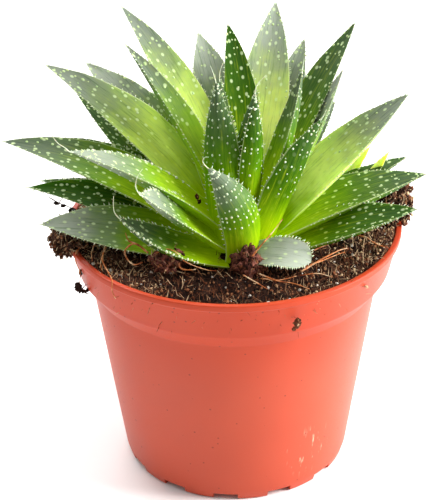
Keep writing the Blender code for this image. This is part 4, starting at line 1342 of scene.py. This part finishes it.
for name, centre, radii, look, rough in (
    ("soil_clump_left", (-57.5, -15.0, 94.8), (6.0, 8.0, 4.0), peat, 0.7),
    ("soil_clump_right", (57.5, 8.0, 95.8), (6.0, 11.0, 4.5), peat, 0.7),
    ("pup_clod", (5.0, -36.0, 94.5), (4.5, 4.0, 6.0), dry_tissue, 0.5),
    ("root_clod", (-23.0, -34.0, 96.0), (5.0, 3.6, 3.4), dry_tissue, 0.5),
):
    lump = lump_mesh(name + "_core", centre, radii, look, rough=rough, finest=5)
    crumbs = grown_on(lump, scatter_tree, {
        "Spacing": 0.9 * MM, "Size": 0.55 * MM, "Smallest": 0.3, "Largest": 1.5, "Seed": 14,
        "Darkest": 0.1 if look is peat else 0.35, "Lightest": 0.85, "Material": crumb_skin,
    })
    hairs = grown_on(lump, scatter_tree, {
        "Spacing": 1.5 * MM, "Size": 0.12 * MM, "Smallest": 0.6, "Largest": 1.4, "Stretch": 18.0, "Seed": 15,
        "Darkest": 0.6, "Material": crumb_skin,
    })
    piece_of(name + "_core", lump, [name])
    piece_of(name + "_crumbs", joined(name + "_crumbs", [crumbs, hairs]))
print("clumps and clods: 4")

# %% [markdown]
# Roots are the plant's own: orange-brown and dry where they lie bare, pale where they are young. The four
# that the CAD holds are thick enough to see as solids. The fine ones below are only drawn here.

# %% Roots
# The dry skin of a live root, slightly waxy: it gives the eye warm orange-brown threads.
root_skin, tree, shader = plain_material("dry_aloe_root", Roughness=0.6, Specular_IOR_Level=0.3)
place = add(tree, "ShaderNodeTexCoord").outputs["Object"]
colour = add(
    tree, "ShaderNodeValToRGB",
    {
        0: add(tree, "ShaderNodeTexNoise", {
            "Vector": place, "Scale": 1 / (3.0 * MM), "Detail": 3.0,
        }).outputs[0]
    },
    [(0.35, "8A3F1C"), (0.5, "C8743A"), (0.68, "E9C9A0")],
).outputs[0]
tree.links.new(colour, shader.inputs["Base Color"])
for name, radius, route in (
    ("root_left", 0.5, ((-29, -34, 99), (-33.5, -32, 101.5), (-37, -31, 98.5), (-36.5, -32, 95.8),
                        (-34, -35.5, 95.3), (-31, -34.5, 95.6))),
    ("root_right", 0.5, ((-21, -36.5, 99), (-19.5, -36, 96.5), (-18, -37, 94.5), (-16, -37.5, 94.2),
                         (-13, -37, 94))),
    ("root_pup", 0.45, ((22.5, -39, 94), (29.4, -33, 95), (35.5, -27, 95), (39, -24.5, 94.8))),
    ("root_rim", 0.4, ((41, -16, 95.5), (46, -19, 95.8), (49, -22, 95), (53.5, -23.5, 94))),
):
    piece_of(
        name + "_strand", strand(name, route, 0.75 * radius, 0.4 * radius, root_skin, 8, 8, 0.5),
        [name],
    )
FINE_ROOTS = (
    (0.32, ((-33, -33, 102), (-35.5, -33.5, 103.5), (-36.5, -33.5, 106.5))),
    (0.26, ((-27, -34, 98.5), (-23, -36, 101.5), (-19.5, -36.5, 100.5), (-17, -37, 97.5), (-12, -37.5, 95))),
    (0.24, ((-20, -36.5, 100), (-15.5, -37, 96.5), (-9.5, -38, 94.5), (-6, -38, 94))),
    (0.26, ((6, -39, 100), (9, -38, 103.5), (13, -35, 107), (16.5, -33, 111))),
    (0.22, ((22, -41, 93.6), (28, -41.5, 94.6), (33, -42, 93.4))),
    (0.24, ((23, -38, 95), (29, -36, 96), (34.5, -31, 95.6), (38, -28, 95.2))),
    (0.24, ((27, -30, 97), (33, -25, 97), (39, -20, 96.6), (44, -14, 96.4))),
    (0.3, ((8, -40, 94), (14, -43.5, 93.2), (20, -45, 92.8), (25, -48, 92.4))),
    (0.28, ((9, -41, 92.5), (15, -41.5, 92.2), (21, -40, 92.8))),
    (0.28, ((3, -41, 94), (7, -44, 93), (11, -47, 92))),
    (0.3, (
        (-44, -24, 97), (-45, -31, 95), (-42.5, -38, 93.6), (-41, -43.2, 93.8), (-41, -45.2, 91),
        (-40, -45, 87.6),
    )),
    (0.3, (
        (-49, -15, 96), (-52, -20, 94.6), (-54.3, -23, 94), (-55.0, -24, 91), (-53.6, -24.4, 86),
        (-54, -24, 81.5),
    )),
    (0.26, ((-44, -26, 97), (-45.5, -31, 94.2), (-45, -36, 93.6))),
    (0.26, ((-47, -20, 97.5), (-49, -25, 94.8), (-48.6, -30, 93.8))),
)
fine_roots = [
    strand("fine_root", route, radius, radius * 0.45, root_skin, 6, 8, 0.4) for radius, route in FINE_ROOTS
]
piece_of("fine_roots", joined("fine_roots", fine_roots))
print("roots: 4 thick and", len(FINE_ROOTS), "fine")

# %% [markdown]
# ## Spilt peat
# Potting leaves a mess: peat hangs over the rim on a root, black crumbs stick to twigs beside the lowest
# leaves, and small scraps cling to the collar. Each is a heap of the same crumbs on a small rough core.

# %% Spilt peat
SPILT = (
    ((-54.6, -24.0, 80.0), (1.3, 1.0, 1.6), 0.2), ((-52.8, -24.0, 78.4), (1.6, 0.8, 0.6), 0.2),
    ((-53.6, -23.6, 85.5), (0.5, 0.5, 1.0), 0.3), ((-63.4, 0.0, 100.6), (1.0, 1.0, 0.5), 0.2),
    ((-60.6, 0.0, 99.5), (0.8, 0.8, 0.5), 0.2), ((-57.6, 0.0, 98.0), (1.0, 1.0, 0.6), 0.2),
    ((-59.5, -14.0, 92.6), (2.2, 2.6, 1.8), 0.3), ((-61.5, -13.0, 94.6), (1.2, 1.6, 1.2), 0.3),
    ((63.0, 8.0, 96.5), (1.4, 2.2, 2.2), 0.6), ((61.5, 4.0, 92.5), (1.0, 1.4, 2.4), 0.6),
    ((62.5, 14.0, 99.0), (1.2, 1.8, 1.2), 0.5), ((57.0, 14.0, 101.0), (2.0, 1.2, 0.8), 0.5),
    ((20.6, -56.8, 84.6), (1.2, 0.6, 1.7), 0.62), ((19.6, -56.4, 82.2), (0.7, 0.4, 0.9), 0.7),
    ((44.9, -38.2, 87.3), (0.5, 0.5, 0.5), 1.0), ((-12.4, -22.0, 114.0), (0.6, 0.5, 1.0), 0.6),
    ((-11.6, -22.0, 112.0), (0.5, 0.4, 0.8), 0.4), ((32.4, -1.0, 108.8), (0.7, 0.6, 0.7), 0.8),
)
cores, crumbs = [], []
for number, (centre, radii, tone) in enumerate(SPILT):
    core = lump_mesh("spilt_core", centre, radii, crumb_skin, rough=0.6, finest=3)
    store(core, "shade", np.full(len(core.vertices), tone))
    cores.append(core)
    crumbs.append(grown_on(core, scatter_tree, {
        "Spacing": 0.6 * MM, "Size": 0.34 * MM, "Smallest": 0.3, "Largest": 1.6, "Seed": 60 + number,
        "Darkest": tone - 0.2, "Lightest": tone + 0.25, "Material": crumb_skin,
    }))
TWIGS = (
    (0.25, ((-65.5, 0, 103.0), (-62.0, 0, 100.6), (-58.5, 0, 99.0), (-54.0, 0, 96.5))),
    (0.2, ((-62.5, 0, 100.0), (-61.0, 0, 102.5), (-59.5, 0, 103.3))),
    (0.25, ((-54.5, -24, 79.0), (-52.0, -24.2, 77.6), (-50.6, -24.6, 77.4))),
    (0.2, ((-53.4, -24, 79.0), (-52.2, -24, 80.6), (-51.4, -24, 81.0))),
    (0.25, ((56.0, 14, 101.5), (60.0, 12, 100.0), (64.5, 10, 98.5))),
    (0.25, ((61.0, 6, 95.0), (63.0, 6, 91.0), (62.4, 6, 88.0))),
)
twigs = [strand("twig", route, radius, radius * 0.5, crumb_skin, 6, 6, 0.4) for radius, route in TWIGS]
for twig in twigs:
    store(twig, "shade", np.full(len(twig.vertices), 0.4))
spilt = piece_of("spilt_peat", joined("spilt_peat", cores + crumbs + twigs))
print("spilt peat:", len(spilt.data.polygons), "faces")

# %% Stem and small blades
stem_outline = [
    (0.0, 109.6), (0.6, 109.0), (1.6, 106.0), (3.4, 101.0), (5.6, 96.5), (8.6, 91.0), (6.0, 70.0),
    (0.0, 70.0),
]
stem_points, stem_faces = spun(softened(stem_outline, 1.0), 40)
stem_points = [(x + CROWN[0], y + CROWN[1], z) for x, y, z in stem_points]
# Soft green stem tissue: it gives the eye a yellow-green core between the leaves.
stem_skin, tree, shader = plain_material("green_stem_skin", Roughness=0.5)
place = add(tree, "ShaderNodeTexCoord").outputs["Object"]
tree.links.new(
    add(tree, "ShaderNodeValToRGB", {
        0: add(tree, "ShaderNodeTexNoise", {"Vector": place, "Scale": 1 / (3.0 * MM)}).outputs[0]
    }, [(0.35, "7F9A2C"), (0.65, "A8BE46")]).outputs[0],
    shader.inputs["Base Color"],
)
piece_of("stem_core", mesh_of("stem_core", metres(stem_points), stem_faces, stem_skin), ["stem"])

# The shoots carry a full painted glow, for light passing through their thin young blades; the pup leaf
# carries grey wax bloom with a painted sheen.
SMALL_BLADES = (
    ("pup_leaf", (8, -31, 96), (26, -38, 97), 340, 3, 20, 13, 5.0, (0.0, 1.0, 0.0), "old_leaf"),
    ("shoot_1", (35, 12, 96), (49, 8, 118), 100, -2, 0, 6.0, 1.6, (1.0, 0.0, 0.0), "young_leaf"),
    ("shoot_2", (46, 12, 96), (55.5, 5, 117.5), 100, -3, 0, 4.5, 1.6, (1.0, 0.0, 0.0), "young_leaf"),
)
for number, (name, root, tip, seat, arch, roll, width, taper, habit, slot) in enumerate(SMALL_BLADES):
    rib = bowed(np.array(root, float), np.array(tip, float), seat, arch, 0.0, roll)
    mesh, length = blade_mesh(name + "_blade", rib, width, CUP, taper, habit, 60 + number)
    # The pup leaf takes the colours of a leaf's tip; the shoots take those of a leaf's root, where the
    # painted glow lies.
    start, share = (0.74, 0.24) if name == "pup_leaf" else (0.2, 0.3)
    store(mesh, "along", start + share * values_of(mesh.attributes["along"].data, "value"))
    piece_of(name + "_blade", mesh, [name])
    if name == "pup_leaf":
        lace = grown_on(mesh, lace_tree, {
            "Teeth": 22, "Tooth Length": 1.4 * MM, "Outer Rows": 3, "Bumps in a Row": 4,
            "Bump Radius": 0.3 * MM,
            "Seed": 77, "Material": horn,
        })
        piece_of("pup_lace", joined("pup_lace", [lace]))
print("small blades:", len(SMALL_BLADES))

# %% [markdown]
# ## Floor, light and camera
# A pale floor, a white sky and two large soft lamps stand in for a bright studio. The sky alone gives the
# pale gloss at the pot's sides. The camera looks down at about 29 degrees, with a long lens.

# %% Floor
# Seamless studio paper, matt and almost white: it gives the eye a background with no edge.
floor_paper, tree, shader = plain_material("white_paper_floor", Roughness=0.9)
place = add(tree, "ShaderNodeTexCoord").outputs["Object"]
tree.links.new(
    add(tree, "ShaderNodeValToRGB", {
        0: add(tree, "ShaderNodeTexNoise", {"Vector": place, "Scale": 1 / (300.0 * MM)}).outputs[0]
    }, [(0.3, "F7F7F6"), (0.7, "FBFBFA")]).outputs[0],
    shader.inputs["Base Color"],
)
half = 3000.0
floor_points = [(-half, -half, -0.2), (half, -half, -0.2), (half, half, -0.2), (-half, half, -0.2)]
floor_mesh = mesh_of("floor", metres(floor_points), [(0, 1, 2, 3)], floor_paper, smooth=False)
floor = bpy.data.objects.new("floor", floor_mesh)
bpy.context.scene.collection.objects.link(floor)
floor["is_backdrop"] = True
print("floor:", 2 * half / 1000, "m wide")

# %% Lights


def soft_lamp(name, place, target, size, watts, colour):
    lamp = bpy.data.lights.new(name, "AREA")
    lamp.shape = "DISK"
    lamp.size = size
    lamp.energy = watts
    lamp.color = linear(colour)[:3]
    made = bpy.data.objects.new(name, lamp)
    made.location = metres(place)
    made.rotation_euler = Vector(
        np.array(target, float) - np.array(place, float)
    ).to_track_quat("-Z", "Y").to_euler()
    bpy.context.scene.collection.objects.link(made)


soft_lamp("key", (700, -100, 400), (0, 0, 90), 0.4, 11.5, "FFFFFF")
soft_lamp("back", (-250, 500, 600), (0, 0, 120), 0.6, 5.0, "FFFFFF")
world = bpy.data.worlds.new("studio_sky")
bpy.context.scene.world = world
world.use_nodes = True
tree = world.node_tree
sky = add(tree, "ShaderNodeSeparateXYZ", {0: add(tree, "ShaderNodeTexCoord").outputs["Generated"]}).outputs
upward = add(tree, "ShaderNodeMath", {0: sky[2], 1: 0.0}, operation="MAXIMUM").outputs[0]
backward = add(tree, "ShaderNodeMath", {
    0: 1.0,
    1: add(tree, "ShaderNodeMath", {
        0: add(tree, "ShaderNodeMath", {0: sky[1], 1: -1.0}, operation="MULTIPLY").outputs[0], 1: 0.0,
    }, operation="MAXIMUM").outputs[0],
}, operation="SUBTRACT").outputs[0]
brightness = add(tree, "ShaderNodeMath", {
    0: backward,
    1: add(tree, "ShaderNodeMath", {0: upward, 1: 0.65, 2: 0.55}, operation="MULTIPLY_ADD").outputs[0],
}, operation="MULTIPLY").outputs[0]
brightness = add(tree, "ShaderNodeMath", {
    0: brightness,
    1: add(tree, "ShaderNodeMath", {0: sky[0], 1: 0.12, 2: 0.13}, operation="MULTIPLY_ADD").outputs[0],
}, operation="ADD").outputs[0]
tree.nodes["Background"].inputs["Color"].default_value = (1.0, 1.0, 1.0, 1.0)
tree.links.new(brightness, tree.nodes["Background"].inputs["Strength"])
bpy.context.scene.view_settings.view_transform = "Standard"
print("lamps:", len(bpy.data.lights))

# %% Camera
# These angles and the lens were solved by a program, from the outline of the pot's rim and foot.
YAW, PITCH, ROLL = -0.013756, 0.508504, -0.016869
ahead = Vector((math.sin(YAW) * math.cos(PITCH), math.cos(YAW) * math.cos(PITCH), -math.sin(PITCH)))
level = Vector((math.cos(YAW), -math.sin(YAW), 0.0))
over = level.cross(ahead)
right = level * math.cos(ROLL) + over * math.sin(ROLL)
top = over * math.cos(ROLL) - level * math.sin(ROLL)
lens = bpy.data.cameras.new("camera")
lens.sensor_fit = "HORIZONTAL"
lens.sensor_width = 36.0
lens.lens = 139.46
camera = bpy.data.objects.new("camera", lens)
camera.matrix_world = Matrix((
    (right.x, top.x, -ahead.x, AXIS.x),
    (right.y, top.y, -ahead.y, -0.524 + AXIS.y),
    (right.z, top.z, -ahead.z, 0.373),
    (0, 0, 0, 1),
))
bpy.context.scene.collection.objects.link(camera)
bpy.context.scene.camera = camera
print("camera tilted down by", round(math.degrees(PITCH), 1), "degrees")

# %% Sizes: the CAD's box and the visual box
new_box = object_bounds()
both_boxes = [[round(1000 * v, 1) for v in corner] for box in (cad_box, new_box) for corner in box]
print("CAD box and visual box, mm:", both_boxes)
